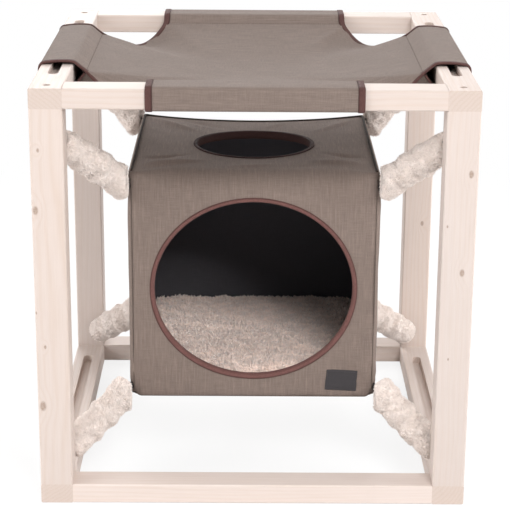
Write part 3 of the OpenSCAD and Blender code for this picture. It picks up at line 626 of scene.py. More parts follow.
def finish_plan(look):
    """How each shared finish is made: the function, the material's name and the values."""
    beige = (0.85, 0.6, 0.2, 230.0)
    shaded_beige_values = (0.85, 0.62, 0.2, 230.0)
    return {
        "taupe": (woven_finish, "taupe_melange", look.cloth),
        # Painted shade: the house's taupe drawn darker on the hammock, which catches more light from above
        "hammock": (woven_finish, "hammock_melange", tint(look.cloth, 0.95)),
        "lining": (woven_finish, "dark_lining", look.lining, 0.7 * MM, 0.12, 0.1, 0.05),
        "binding": (tape_finish, "russet_binding", look.binding),
        # Painted shade: the russet tape drawn darker at the hatch, which lies in the hammock's shade
        "dark_binding": (tape_finish, "dark_russet_binding", tint(look.binding, 0.28), 0.0),
        # Painted shade: the russet tape drawn darker on the hammock's edges, whose tops catch strong light
        "shaded_edge_binding": (tape_finish, "edge_russet_binding", tint(look.binding, 0.6)),
        "piping": (felt_finish, "dark_piping", look.piping, 900.0),
        # Painted shade: taupe drawn darker for the house's edge seams and the hammock's webs, which lie in
        # shade
        "seam": (felt_finish, "dark_taupe_seam", tint(look.cloth, 0.5), 1200.0),
        "thread": (felt_finish, "taupe_thread", tint(look.cloth, 0.6), 1500.0),
        "russet_thread": (felt_finish, "russet_thread", tint(look.binding, 0.75), 1500.0),
        "patch": (woven_finish, "grey_patch_cloth", look.patch, 0.6 * MM, 0.14, 0.2, 0.1),
        "patch_thread": (felt_finish, "patch_thread", tint(look.patch, 1.9), 1500.0),
        # Painted shade: the bases under the tufts are drawn darker than their pile
        "cream_shaded_base": (plush_finish, "cream_plush_backing", tint(look.plush, 0.97), 0.9),
        "cream_pile": (plush_finish, "cream_plush_pile", look.plush, 0.96),
        "beige_shaded_base": (plush_finish, "beige_plush_backing", tint(look.cushion, 0.9), 0.95, *shaded_beige_values),
        "beige_pile": (plush_finish, "beige_plush_pile", look.cushion, 0.97, *beige),
        "felt": (felt_finish, "grey_felt_board", (0.2, 0.19, 0.185)),
        "cord": (felt_finish, "elastic_cord", (0.72, 0.66, 0.6), 1200.0),
        "webbing": (felt_finish, "dark_webbing", (0.035, 0.03, 0.03), 1200.0),
        "steel": (metal_finish, "dark_nickel", (0.21, 0.20, 0.20), 0.32),
        "zinc": (metal_finish, "black_zinc", (0.10, 0.10, 0.105), 0.4),
        "brass": (metal_finish, "insert_brass", (0.55, 0.38, 0.15), 0.35),
        "dowel": (felt_finish, "beech_dowel", (0.55, 0.40, 0.25), 300.0),
    }


def finish(name):
    """A shared finish, made when it is first asked for."""
    if name not in FINISH:
        make, *values = finish_plan(bpy.context.scene.condo_finishes)[name]
        FINISH[name] = make(*values)
    return FINISH[name]


def dress(node, material):
    """Gives a solid's node one material."""
    slots = NODES[node].data.materials
    slots.clear()
    slots.append(material)


# Geometry nodes


class Tree(Nodes):
    """A geometry node tree with named inputs."""

    def __init__(self, name, **inputs):
        super().__init__(bpy.data.node_groups.new(name, "GeometryNodeTree"))
        face = self.tree.interface
        face.new_socket("Geometry", in_out="INPUT", socket_type="NodeSocketGeometry")
        for label, kind in inputs.items():
            face.new_socket(label, in_out="INPUT", socket_type="NodeSocket" + kind)
        face.new_socket("Geometry", in_out="OUTPUT", socket_type="NodeSocketGeometry")
        self.given = self.node("NodeGroupInput").outputs
        self.result = self.node("NodeGroupOutput").inputs[0]

    def get(self, kind, links=None, output=0, **settings):
        """One output of a new geometry node."""
        return self.node("GeometryNode" + kind, links, **settings).outputs[output]

    def random(self, low, high, seed):
        links = {2: low, 3: high, "Seed": seed}
        return self.node("FunctionNodeRandomValue", links, data_type="FLOAT").outputs[1]

    def aligned(self, vector):
        return self.node("FunctionNodeAlignRotationToVector", {"Vector": vector}, axis="Z").outputs[0]

    def placed(self, points, instance, rotation, scale):
        """Instances on points, made real and smooth, in the material given to the tree."""
        links = {"Points": points, "Instance": instance, "Rotation": rotation, "Scale": scale}
        real = self.get("RealizeInstances", {"Geometry": self.get("InstanceOnPoints", links)})
        soft = self.get("SetShadeSmooth", {"Geometry": real})
        return self.get("SetMaterial", {"Geometry": soft, "Material": self.given["Material"]})

    def apply(self, piece, **values):
        mod = piece.modifiers.new(self.tree.name, "NODES")
        mod.node_group = self.tree
        for item in self.tree.interface.items_tree:
            if item.in_out == "INPUT" and item.name in values:
                mod[item.identifier] = values[item.name]
        return settle(piece)


def pile_tree():
    """Tufts of plush pile on a surface: each is a bent three-sided spike, leaning with its neighbours."""
    t = Tree("plush_pile", Density="Float", Pile="Float", Width="Float", Lean="Float", Seed="Int",
             Material="Material")
    g = t.given
    cover = t.get("InputNamedAttribute", {"Name": "pile"}, data_type="FLOAT")
    density = t.math("MULTIPLY", g["Density"], cover)
    links = {"Mesh": g["Geometry"], "Seed": g["Seed"], "Density": density}
    spots = t.node("GeometryNodeDistributePointsOnFaces", links, distribute_method="RANDOM").outputs
    drift = t.node("TexNoise", {"Scale": 85.0, "Detail": 2.0}).outputs["Color"]
    lean = t.vec("SCALE", t.vec("SUBTRACT", drift, (0.5, 0.5, 0.5)), scale=3.4)
    links = {0: (-1.0, -1.0, -1.0), 1: (1.0, 1.0, 1.0), "Seed": 3}
    stray = t.node("FunctionNodeRandomValue", links, data_type="FLOAT_VECTOR").outputs[0]
    lean = t.vec("ADD", lean, t.vec("SCALE", stray, scale=0.45))
    way = t.aligned(t.vec("ADD", spots["Normal"], t.vec("SCALE", lean, scale=g["Lean"])))
    links = {"Axis": (0, 0, 1), "Angle": t.random(0.0, TAU, 5)}
    spin = t.node("FunctionNodeAxisAngleToRotation", links).outputs[0]
    way = t.node("FunctionNodeRotateRotation", {0: way, 1: spin}, rotation_space="LOCAL").outputs[0]
    links = {"Vertices": 3, "Side Segments": 1, "Radius Top": t.math("MULTIPLY", g["Width"], 0.3),
             "Radius Bottom": g["Width"], "Depth": g["Pile"]}
    spike = t.get("MeshCone", links, "Mesh", fill_type="NONE")
    high = t.node("SeparateXYZ", {0: t.get("InputPosition")}).outputs[2]
    share = t.math("DIVIDE", high, g["Pile"])
    bend = t.math("MULTIPLY", t.math("MULTIPLY", share, share), t.math("MULTIPLY", g["Pile"], 0.45))
    offset = t.node("CombineXYZ", {0: bend}).outputs[0]
    bent = t.get("SetPosition", {"Geometry": spike, "Offset": offset})
    tufts = t.placed(spots["Points"], bent, way, t.random(0.65, 1.3, 9))
    both = t.node("GeometryNodeJoinGeometry")
    t.put(both.inputs[0], tufts)
    t.put(both.inputs[0], g["Geometry"])
    t.put(t.result, both.outputs[0])
    return t


def stitch_tree():
    """Stitches along lines: one short round bar for each step."""
    t = Tree("stitches", Step="Float", Length="Float", Thread="Float", Material="Material")
    g = t.given
    curve = t.get("MeshToCurve", {"Mesh": g["Geometry"]})
    even = t.get("ResampleCurve", {"Curve": curve, "Length": g["Step"]}, mode="LENGTH")
    bar = t.get("MeshUVSphere", {"Segments": 6, "Rings": 4, "Radius": 0.5})
    size = t.node("CombineXYZ", {0: g["Thread"], 1: g["Thread"], 2: g["Length"]}).outputs[0]
    t.put(t.result, t.placed(even, bar, t.aligned(t.get("InputTangent")), size))
    return t


TREES = {}


def tree(name):
    """A shared geometry node tree, made when it is first asked for."""
    if name not in TREES:
        TREES[name] = {"pile": pile_tree, "stitch": stitch_tree}[name]()
    return TREES[name]


def stitch_lines(name, lines, material, step=3.6 * MM, length=2.9 * MM, thread=0.75 * MM):
    """A piece of stitches along the given lines; a line may be closed."""
    mesh = bpy.data.meshes.new(name)
    verts, edges = [], []
    for line, closed in lines:
        base = len(verts)
        verts += [tuple(p) for p in line]
        edges += [(base + i, base + i + 1) for i in range(len(line) - 1)]
        if closed:
            edges.append((base + len(line) - 1, base))
    mesh.from_pydata(verts, edges, [])
    mesh.materials.append(material)
    return tree("stitch").apply(link(name, mesh), Step=step, Length=length, Thread=thread, Material=material)


def grow_pile(piece, material, cover, density, pile, width, lean, seed):
    """Covers a mesh with tufts. cover is the share of the density at each vertex."""
    layer = piece.data.attributes.new("pile", "FLOAT", "POINT")
    layer.data.foreach_set("value", np.asarray(cover, np.float32))
    values = {"Density": density, "Pile": pile, "Width": width, "Lean": lean, "Seed": seed}
    tree("pile").apply(piece, Material=material, **values)
    spare = piece.data.attributes.get("pile")
    if spare is not None:
        piece.data.attributes.remove(spare)


# The user's values


def color_prop(name, text, default):
    return bpy.props.FloatVectorProperty(
        name=name, description=text, subtype="COLOR", size=3, min=0, max=1, default=default)


def number_prop(name, text, default, unit="NONE"):
    return bpy.props.FloatProperty(name=name, description=text, default=default, unit=unit)


class CondoFinishes(bpy.types.PropertyGroup):
    """Colours of the finishes, as linear values."""

    pine: color_prop("Pine", "Pale early wood of the timber", (0.605, 0.524, 0.485))
    cloth: color_prop("Cloth", "Taupe melange of the house and the hammock", (0.217, 0.167, 0.143))
    lining: color_prop("Lining", "Dark cloth inside the house", (0.080, 0.075, 0.083))
    binding: color_prop("Binding", "Russet tape round the edges", (0.158, 0.075, 0.067))
    piping: color_prop("Piping", "Dark cord in the top seams of the house", (0.050, 0.039, 0.034))
    patch: color_prop("Patch", "Bare cloth patch on the front", (0.054, 0.049, 0.052))
    plush: color_prop("Plush", "Cream plush of the straps", (0.94, 0.845, 0.79))
    cushion: color_prop("Cushion", "Beige plush of the cushion", (0.985, 0.785, 0.69))


class CondoHammock(bpy.types.PropertyGroup):
    """Shape of the hammock."""

    sag: number_prop("Sag", "Drop of the middle below the seams", 0.030, "LENGTH")
    corner_sag: number_prop("Corner sag", "Drop of the free corner edges", 0.025, "LENGTH")
    corner_bow: number_prop("Corner bow", "Inward bow of the free edges", 0.012, "LENGTH")
    slack: number_prop("Slack", "Room between a sleeve and its rail", 0.001, "LENGTH")
    crown: number_prop("Crown", "Dome of a sleeve over its rail", 0.0032, "LENGTH")
    creases: number_prop("Creases", "Height of the pulled creases", 0.0011, "LENGTH")


class CondoHouse(bpy.types.PropertyGroup):
    """Shape of the hanging house."""

    sag: number_prop("Sag", "Drop of the top's back edge at its middle", 0.0105, "LENGTH")
    fold: number_prop("Fold", "Radius of the soft fold from top to front", 0.038, "LENGTH")
    bulge: number_prop("Bulge", "Swell of the side walls", 0.0018, "LENGTH")
    creases: number_prop("Creases", "Height of the pulled creases", 0.0010, "LENGTH")


class CondoPlush(bpy.types.PropertyGroup):
    """Pile of the plush pieces."""

    strap_pile: number_prop("Strap pile", "Length of the pile on the straps", 0.0018, "LENGTH")
    strap_density: number_prop("Strap density", "Tufts on a square metre of strap", 640000.0)
    cushion_pile: number_prop("Cushion pile", "Length of the pile on the cushion", 0.0037, "LENGTH")
    cushion_density: number_prop("Cushion density", "Tufts on a square metre of cushion", 165000.0)


class CondoStage(bpy.types.PropertyGroup):
    """Light and floor."""

    world: number_prop("Surround", "Strength of the even light all round", 0.48)
    key: number_prop("Key", "Power of the large lamp at the front right", 48.0, "POWER")
    back: number_prop("Back", "Power of the lamp behind the object", 64.0, "POWER")
    sides: number_prop("Sides", "Power of each lamp beside the object", 43.0, "POWER")
    inside: number_prop("Inside", "Power of the narrow lamp into the entrance", 70.0, "POWER")
    floor: color_prop("Floor", "Pale floor", (0.9, 0.9, 0.9))


# Timber and metal

GRAIN_AXIS = {"side_rail": 1, "cross_rail": 0, "post": 2}

# Knots of each timber: place and radius, in metres
KNOTS = {
    "cross_rail_top_front": [((0.21, -0.28, 0.572), 0.0035)],
    "post_back_left": [
        ((-0.272, 0.255, 0.372), 0.004),
        ((-0.262, 0.255, 0.318), 0.0022),
        ((-0.285, 0.2775, 0.18), 0.005),
    ],
    "post_back_right": [((0.285, 0.255, 0.25), 0.003)],
    "post_front_left": [
        ((-0.289, -0.3, 0.516), 0.0022),
        ((-0.2947, -0.3, 0.4325), 0.0042),
        ((-0.2985, -0.3, 0.286), 0.0016),
        ((-0.2875, -0.3, 0.236), 0.002),
        ((-0.293, -0.3, 0.148), 0.005),
    ],
    "post_front_right": [
        ((0.29, -0.3, 0.486), 0.0038),
        ((0.2834, -0.3, 0.347), 0.0038),
        ((0.2695, -0.3, 0.221), 0.0014),
        ((0.261, -0.3, 0.413), 0.0015),
    ],
    "side_rail_top_left": [((-0.3, 0.08, 0.586), 0.0045)],
    "side_rail_top_right": [((0.3, -0.12, 0.584), 0.004)],
    "side_rail_bottom_left": [((-0.3, -0.05, 0.012), 0.005)],
    "side_rail_bottom_right": [((0.3, 0.14, 0.015), 0.0045)],
    "cross_rail_bottom_front": [((-0.12, -0.255, 0.012), 0.0028)],
    "cross_rail_bottom_back": [((0.06, 0.3, 0.016), 0.005)],
    "cross_rail_top_back": [((-0.2, 0.3, 0.584), 0.004)],
}

# Timbers drawn paler, with the factor on their colour: painted light for the extra light they catch, such as
# bounce from the floor on the bottom rails
PAINTED_LIGHT_PALER = {
    "cross_rail_bottom_front": 1.13,
    "side_rail_bottom_left": 1.06,
    "side_rail_bottom_right": 1.06,
    "post_back_right": 1.09,
}
FIRST_TIMBER_SEED = 4
BOLTS = ("post_bolts", "rail_bolts")


class CONDO_OT_timber(bpy.types.Operator):
    """Gives every post and rail its own piece of pine, with the grain along it"""

    bl_idname = "condo.timber"
    bl_label = "Timber"

    def execute(self, context):
        base = tuple(context.scene.condo_finishes.pine)
        kinds = tuple(GRAIN_AXIS)
        timbers = [node for node in sorted(NODES) if node.startswith(kinds)]
        for seed, node in enumerate(timbers, FIRST_TIMBER_SEED):
            if node in BOLTS:
                continue
            axis = next(GRAIN_AXIS[kind] for kind in kinds if node.startswith(kind))
            # Painted light: the listed timbers get a paler colour for the extra light they catch
            plank_with_painted_light = tint(base, PAINTED_LIGHT_PALER.get(node, 1.0))
            tone = 0.985 + 0.012 * (seed % 3)
            dress(node, pine_finish(node, axis, seed, plank_with_painted_light, KNOTS.get(node, ()), tone))
        return {"FINISHED"}


class CONDO_OT_hardware(bpy.types.Operator):
    """Plates the bolts, eyes, hooks and rings, and finishes what is sunk in the timber"""

    bl_idname = "condo.hardware"
    bl_label = "Hardware"

    def execute(self, context):
        for node in NODES:
            if node in ("screw_eyes", "snap_hooks", "corner_rings") or node.startswith("gate_"):
                dress(node, finish("steel"))
        for node in BOLTS:
            dress(node, finish("zinc"))
        dress("inserts", finish("brass"))
        dress("dowels", finish("dowel"))
        dress("corner_tabs", finish("webbing"))
        return {"FINISHED"}


# Hammock

SLEEVE_COUNT = 56
CORNER_COUNT = 30
DISH_RINGS = 44
EDGE_STEPS = 41
TAPE_FACE = 9 * MM
TAPE_PROUD = 0.8 * MM
FRONT_SAG = 1.5
TUNNELS = ["tunnel_front", "tunnel_back", "tunnel_left", "tunnel_right"]


def corner_edge(t, look, quarter):
    """The free edge at the back right corner, from the right seam (t 0) to the back seam (t 1).

    The edges at the two front corners hang lower.
    """
    t = np.asarray(t, float)
    hang = np.sin(math.pi * t)
    bow = look.corner_bow * hang / math.sqrt(2)
    drop = look.corner_sag * (FRONT_SAG if quarter > 1 else 1.0) * hang
    cut = (SEAM - SLEEVE_END) * t
    return np.stack([SEAM - cut - bow, SLEEVE_END + cut - bow, SEAM_Z - drop], -1)


def side_line(x, y, z):
    """Points along y at one x and one z."""
    return np.stack([np.full_like(y, x), y, np.full_like(y, z)], 1)


def rounded_line(corners, radii, steps=6):
    """A line through corners in a plane, each rounded by its radius."""
    c = np.asarray(corners, float)
    out = [c[0]]
    for i in range(1, len(c) - 1):
        a, b = unit(c[i - 1] - c[i]), unit(c[i + 1] - c[i])
        half = math.acos(np.clip(a @ b, -1, 1)) / 2
        cut = radii[i - 1] / math.tan(half)
        centre = c[i] + unit(a + b) * radii[i - 1] / math.sin(half)
        p, q = c[i] + a * cut - centre, c[i] + b * cut - centre
        turn = math.copysign(math.pi - 2 * half, p[0] * q[1] - p[1] * q[0])
        for k in range(steps + 1):
            cos, sin = math.cos(turn * k / steps), math.sin(turn * k / steps)
            out.append(centre + [p[0] * cos - p[1] * sin, p[0] * sin + p[1] * cos])
    out.append(c[-1])
    return np.array(out)


def sleeve_section(look, crown):
    """Outer line of a sleeve round the right rail, as (x, z) from the seam over the rail and back under."""
    room = look.slack + CLOTH_T
    x0, x1 = RAIL_LOW[0] - room, RAIL_HIGH[0] + room
    z0, z1 = RAIL_LOW[2] - room, RAIL_HIGH[2] + room
    last = (SEAM + 1.4 * MM, SEAM_Z - 3.4 * MM)
    corners = [(SEAM, SEAM_Z), (x0 + 1.2 * MM, z1), (x1, z1), (x1, z0), (x0, z0), last]
    line = resample(rounded_line(corners, [9 * MM, 6 * MM, 5 * MM, 5 * MM]), 64)
    x, z = line[:, 0], line[:, 1]
    across = np.clip((x - SEAM) / (x1 - SEAM), 0, 1)
    over, under = z > SEAM_Z - 1 * MM, z < z0 + 2 * MM
    line[:, 1] += crown * np.sin(math.pi * across) * over - 0.5 * crown * np.sin(math.pi * across) * under
    upright = np.clip((z - z0) / (z1 - z0), 0, 1)
    line[:, 0] += 0.45 * crown * np.sin(math.pi * upright) * (x > x1 - 3 * MM)
    return resample(line, 56)


class CONDO_OT_hammock(bpy.types.Operator):
    """Makes the hammock: one cross-shaped cloth whose four flaps run round the top rails"""

    bl_idname = "condo.hammock"
    bl_label = "Hammock"

    def execute(self, context):
        look = context.scene.condo_hammock
        sections = [sleeve_section(look, look.crown), sleeve_section(look, 0.15 * look.crown)]
        runs = [run_along(section) for section in sections]
        verts, faces, flat = self.cloth(look, sections, runs)
        verts = self.creased(verts, flat, look)
        # Its finish is the house's taupe drawn darker: painted shade
        sheet = make_piece("hammock_sheet", verts, faces, [finish("hammock")], corner_uv(faces, flat))
        thicken(sheet, CLOTH_T)
        enter(sheet, "taupe_cloth", "frame", "hammock_cloth", *TUNNELS)
        joined = [self.bindings(look, sections), self.stitches(), self.gussets(look, sections)]
        return {"FINISHED"}

    def cloth(self, look, sections, runs):
        """Points, faces and flat places of the dish and of the flaps that run round the rails."""
        y = np.linspace(-SLEEVE_END, SLEEVE_END, SLEEVE_COUNT, endpoint=False)
        side = side_line(SEAM, y, SEAM_Z)
        free = np.arange(CORNER_COUNT) / CORNER_COUNT
        edge = np.vstack([turned(np.vstack([side, corner_edge(free, look, q)]), q) for q in range(4)])
        around = len(edge)
        verts = [np.array([[0, 0, SEAM_Z - look.sag]])]
        for r in range(1, DISH_RINGS + 1):
            u = r / DISH_RINGS
            ring = edge * u
            ring[:, 2] = SEAM_Z - look.sag * (1 - u * u) - (SEAM_Z - edge[:, 2]) * u**3
            verts.append(ring)
        faces = [(0, 1 + i, 1 + (i + 1) % around) for i in range(around)]
        faces += rows_to_faces(DISH_RINGS, around, 1, flip=True)
        flat = [v[:, :2] for v in verts]
        count = 1 + DISH_RINGS * around
        last_ring = count - around
        y = np.linspace(-SLEEVE_END, SLEEVE_END, SLEEVE_COUNT + 1)
        for q in range(4):
            first = q * (SLEEVE_COUNT + CORNER_COUNT)
            rows = [[last_ring + (first + i) % around for i in range(SLEEVE_COUNT + 1)]]
            for (x, z), run in list(zip(sections[q % 2], runs[q % 2]))[1:]:
                verts.append(turned(side_line(x, y, z), q))
                flat.append(turned(side_line(SEAM + run, y, 0), q)[:, :2])
                rows.append(list(range(count, count + SLEEVE_COUNT + 1)))
                count += SLEEVE_COUNT + 1
            for a, b in zip(rows[:-1], rows[1:]):
                faces += [(a[i], b[i], b[i + 1], a[i + 1]) for i in range(SLEEVE_COUNT)]
        return np.vstack(verts), faces, np.vstack(flat)

    def creased(self, verts, flat, look):
        """Pulled creases from the sleeve corners, puckers along the seams and a little unevenness."""
        v = verts.copy()
        x, y = np.abs(flat[:, 0]), np.abs(flat[:, 1])
        out = np.maximum(x, y)
        p = at_height(flat, 0.0)
        lift = 0.9 * MM * noise(p, 0.085, 5) + 0.45 * MM * noise(p, 0.038, 8)
        bend = 5 * noise(p, 0.12, 11)
        for sx in (-1, 1):
            for sy in (-1, 1):
                for ax, ay in ((SEAM, SLEEVE_END), (SLEEVE_END, SEAM)):
                    dx, dy = flat[:, 0] - sx * ax, flat[:, 1] - sy * ay
                    far = np.hypot(dx, dy)
                    fan = np.sin(9 * np.arctan2(dy, dx) + bend)
                    lift += look.creases * fan * smooth(0.0, 0.03, far) * np.exp(-far / 0.075)
        v[:, 2] += lift * smooth(SEAM, SEAM - 0.05, out)
        seam = np.exp(-(((out - SEAM) / 0.007) ** 2))
        along = np.where(x > y, flat[:, 1], flat[:, 0])
        pucker = 0.35 * MM * np.sin(along * TAU / 0.0105 + 2.5 * noise(p, 0.03, 2)) * seam
        flap = smooth(SEAM, SEAM + 0.02, out)
        uneven = 0.35 * MM * noise(p, 0.045, 21)
        v[:, 2] += pucker * (out < SEAM + 0.03)
        v[:, 2] += uneven * flap * (out < SEAM + 0.055)
        return v

    def tape_profile(self):
        """Section of a tape round the cloth's edge: first value past the edge, second value upwards."""
        t, proud, wide = CLOTH_T, TAPE_PROUD, TAPE_FACE
        return np.array([
            (-wide, 0.0),
            (-wide + 0.3 * MM, proud),
            (-wide * 0.5, proud * 1.25),
            (-0.4 * MM, proud * 1.1),
            (0.55 * MM, 0.0),
            (0.8 * MM, -t / 2),
            (0.55 * MM, -t),
            (-0.4 * MM, -t - proud * 0.9),
            (-wide * 0.5, -t - proud * 0.95),
            (-wide + 0.3 * MM, -t - proud),
            (-wide, -t),
        ])

    def bindings(self, look, sections):
        """Four tapes, each round a sleeve's end, along the free edge and round the next sleeve's end."""
        profile = self.tape_profile()
        swap = [1, 0, 2]
        ends = []
        for section in sections:
            x, z = section.T
            normal = unit(np.stack([-np.gradient(z), np.gradient(x)], 1))[::-1]
            end = np.stack([x[::-1], np.full(len(x), SLEEVE_END), z[::-1]], 1)
            ends.append((end, np.stack([normal[:, 0], np.zeros(len(x)), normal[:, 1]], 1)))
        shapes, pairs = [], []
        for q in range(4):
            (end, end_up), (next_end, next_up) = ends[q % 2], ends[(q + 1) % 2]
            end_side = np.tile([0.0, 1.0, 0.0], (len(end), 1))
            whole = corner_edge(np.linspace(0, 1, EDGE_STEPS), look, q)
            ahead = unit(np.gradient(whole, axis=0))[1:-1]
            edge = whole[1:-1]
            edge_up = np.tile([0.0, 0.0, 1.0], (len(edge), 1))
            edge_up = unit(edge_up - ahead * np.sum(edge_up * ahead, 1, keepdims=True))
            path = np.vstack([end, edge, next_end[::-1][:, swap]])
            up = np.vstack([end_up, edge_up, next_up[::-1][:, swap]])
            side = np.vstack([end_side, np.cross(ahead, edge_up), end_side[::-1][:, swap]])
            path, up, side = self.softened(path, up, side, (len(end), len(end) + len(edge)))
            verts, faces = sweep(turned(path, q), turned(side, q), turned(up, q), profile)
            shapes.append((verts, outward(verts, faces)))
            pairs.append(tape_pairs(path, profile))
        verts, faces = join_shapes(shapes)
        uv = corner_uv(faces, np.vstack(pairs))
        # Its finish is the russet tape drawn darker: painted shade
        tapes = make_piece("hammock_bindings", verts, faces, [finish("shaded_edge_binding")], uv)
        enter(tapes, "russet_binding", "frame", "tunnel_bindings", "corner_bindings")
        return tapes

    def gussets(self, look, sections):
        """Small webs under the free edges, from the end of a sleeve's lower layer to the tape, drawn in a
        darkened taupe as painted shade.
        """
        n, m = 10, 5
        reach, t = np.linspace(0, 16 * MM, n), np.linspace(0, 0.34, n)
        shapes = []
        for q in range(4):
            for far_end in (0, 1):
                under = sections[(q + far_end) % 2][::-1]
                x, z = (np.interp(reach, run_along(under), under[:, k]) for k in (0, 1))
                low = np.stack([x, np.full(n, SLEEVE_END - 0.6 * MM), z], 1)
                if far_end:
                    low = low[:, [1, 0, 2]]
                edge = corner_edge(1 - t if far_end else t, look, q) - (0, 0, 1.6 * MM)
                rows = edge + (low - edge) * np.linspace(0, 1, m)[:, None, None]
                faces = rows_to_faces(m, n, closed=False)
                if not far_end:
                    faces = turned_over(faces)
                shapes.append((turned(rows.reshape(-1, 3), q), faces))
        verts, faces = join_shapes(shapes)
        webs = make_piece("hammock_gussets", verts, faces, [finish("seam")])
        thicken(webs, 0.6 * MM)
        enter(webs, "taupe_cloth", "frame")
        return webs

    def softened(self, path, up, side, turns):
        """Rounds the path where a tape turns from a sleeve's end into the free edge."""
        at = np.arange(len(path))
        share = np.clip(sum(np.exp(-(((at - turn) / 3.0) ** 2)) for turn in turns), 0, 1)[1:-1, None]
        for _ in range(6):
            for arr in (path, up, side):
                arr[1:-1] += share * (0.25 * arr[:-2] + 0.25 * arr[2:] - 0.5 * arr[1:-1])
        up = unit(up)
        side = unit(side - up * np.sum(side * up, 1, keepdims=True))
        return path, up, side

    def stitches(self):
        """Two rows of stitches along each seam."""
        y = np.linspace(-SLEEVE_END + TAPE_FACE, SLEEVE_END - TAPE_FACE, 60)
        lines = []
        for q in range(4):
            for off, rise in ((-0.4 * MM, 0.1 * MM), (3.4 * MM, 1.75 * MM)):
                lines.append((turned(side_line(SEAM + off, y, SEAM_Z + rise), q), False))
        threads = stitch_lines("hammock_stitches", lines, finish("thread"))
        enter(threads, "taupe_cloth", "frame")
        return threads


# House

BASE_N = 12
LOW_N = 5
WALL_N = 78
TOP_N = 8
LID_N = 20
LID_ROW = BASE_N + LOW_N + WALL_N + TOP_N
INSET_SHARE = 0.85


def house_line(half, radius):
    """The rounded square seen from above, counter-clockwise from the front left.

    Gives its points, their outward normals and their share along a side.
    """
    along = np.linspace(-(half - radius), half - radius, SIDE_POINTS)
    w = -math.pi / 2 + np.arange(1, CORNER_POINTS + 1) * (math.pi / 2) / (CORNER_POINTS + 1)
    corner = np.stack([half - radius + radius * np.cos(w), -(half - radius) + radius * np.sin(w)], 1)
    side = np.vstack([np.stack([along, np.full(SIDE_POINTS, -half)], 1), corner])
    facing = np.vstack([np.tile([0.0, -1.0], (SIDE_POINTS, 1)), np.stack([np.cos(w), np.sin(w)], 1)])
    share = np.concatenate([along / half, np.ones(CORNER_POINTS)])
    turns = [np.array([[c, -s], [s, c]]).T for c, s in QUARTER_TURNS]
    points, normals = (np.vstack([part @ turn for turn in turns]) for part in (side, facing))
    return points, normals, np.tile(share, 4)


def house_sag(x, y, look):
    """How far the top hangs down at a place seen from above."""
    across = np.clip(1 - (x / HOUSE_HALF) ** 2, 0, 1)
    return look.sag * across * (0.28 + 0.72 * np.clip((y + HOUSE_HALF) / (2 * HOUSE_HALF), 0, 1))


def low_corners(flat, half, z0, r):
    """Points of the house with its four lower corners rounded like a ball."""
    past = np.column_stack([np.abs(flat[:, :2]) - (half - r), z0 + r - flat[:, 2]])
    far = np.linalg.norm(past, axis=1)
    amount = smooth(0, 0.8 * r, past.min(1)) * np.maximum(far - r, 0)
    away = unit(past) * np.column_stack([np.sign(flat[:, :2]), -np.ones(len(flat))])
    return flat - away * amount[:, None]


def house_rows(line, normal, z0, z1, low_r, top_r):
    """Rows of points from the middle of the bottom, up the walls and over the top to the hatch."""
    rows = [at_height((line - normal * low_r) * (k / BASE_N), z0) for k in range(BASE_N + 1)]
    for k in range(1, LOW_N + 1):
        w = -math.pi / 2 + math.pi / 2 * k / LOW_N
        rows.append(at_height(line - normal * low_r * (1 - math.cos(w)), z0 + low_r * (1 + math.sin(w))))
    for k in range(1, WALL_N + 1):
        rows.append(at_height(line, z0 + low_r + (z1 - top_r - z0 - low_r) * k / WALL_N))
    for k in range(1, TOP_N + 1):
        w = math.pi / 2 * k / TOP_N
        inward = top_r * (1 - math.cos(w))
        rows.append(at_height(line - normal * inward[:, None], z1 - top_r + top_r * math.sin(w)))
    rim = rows[-1][:, :2]
    hole = HATCH_AT[:2] + unit(rim - HATCH_AT[:2]) * (HATCH_R + HOLE_ROOM)
    rows += [at_height(rim + (hole - rim) * (k / LID_N), z1) for k in range(1, LID_N + 1)]
    return np.array(rows)


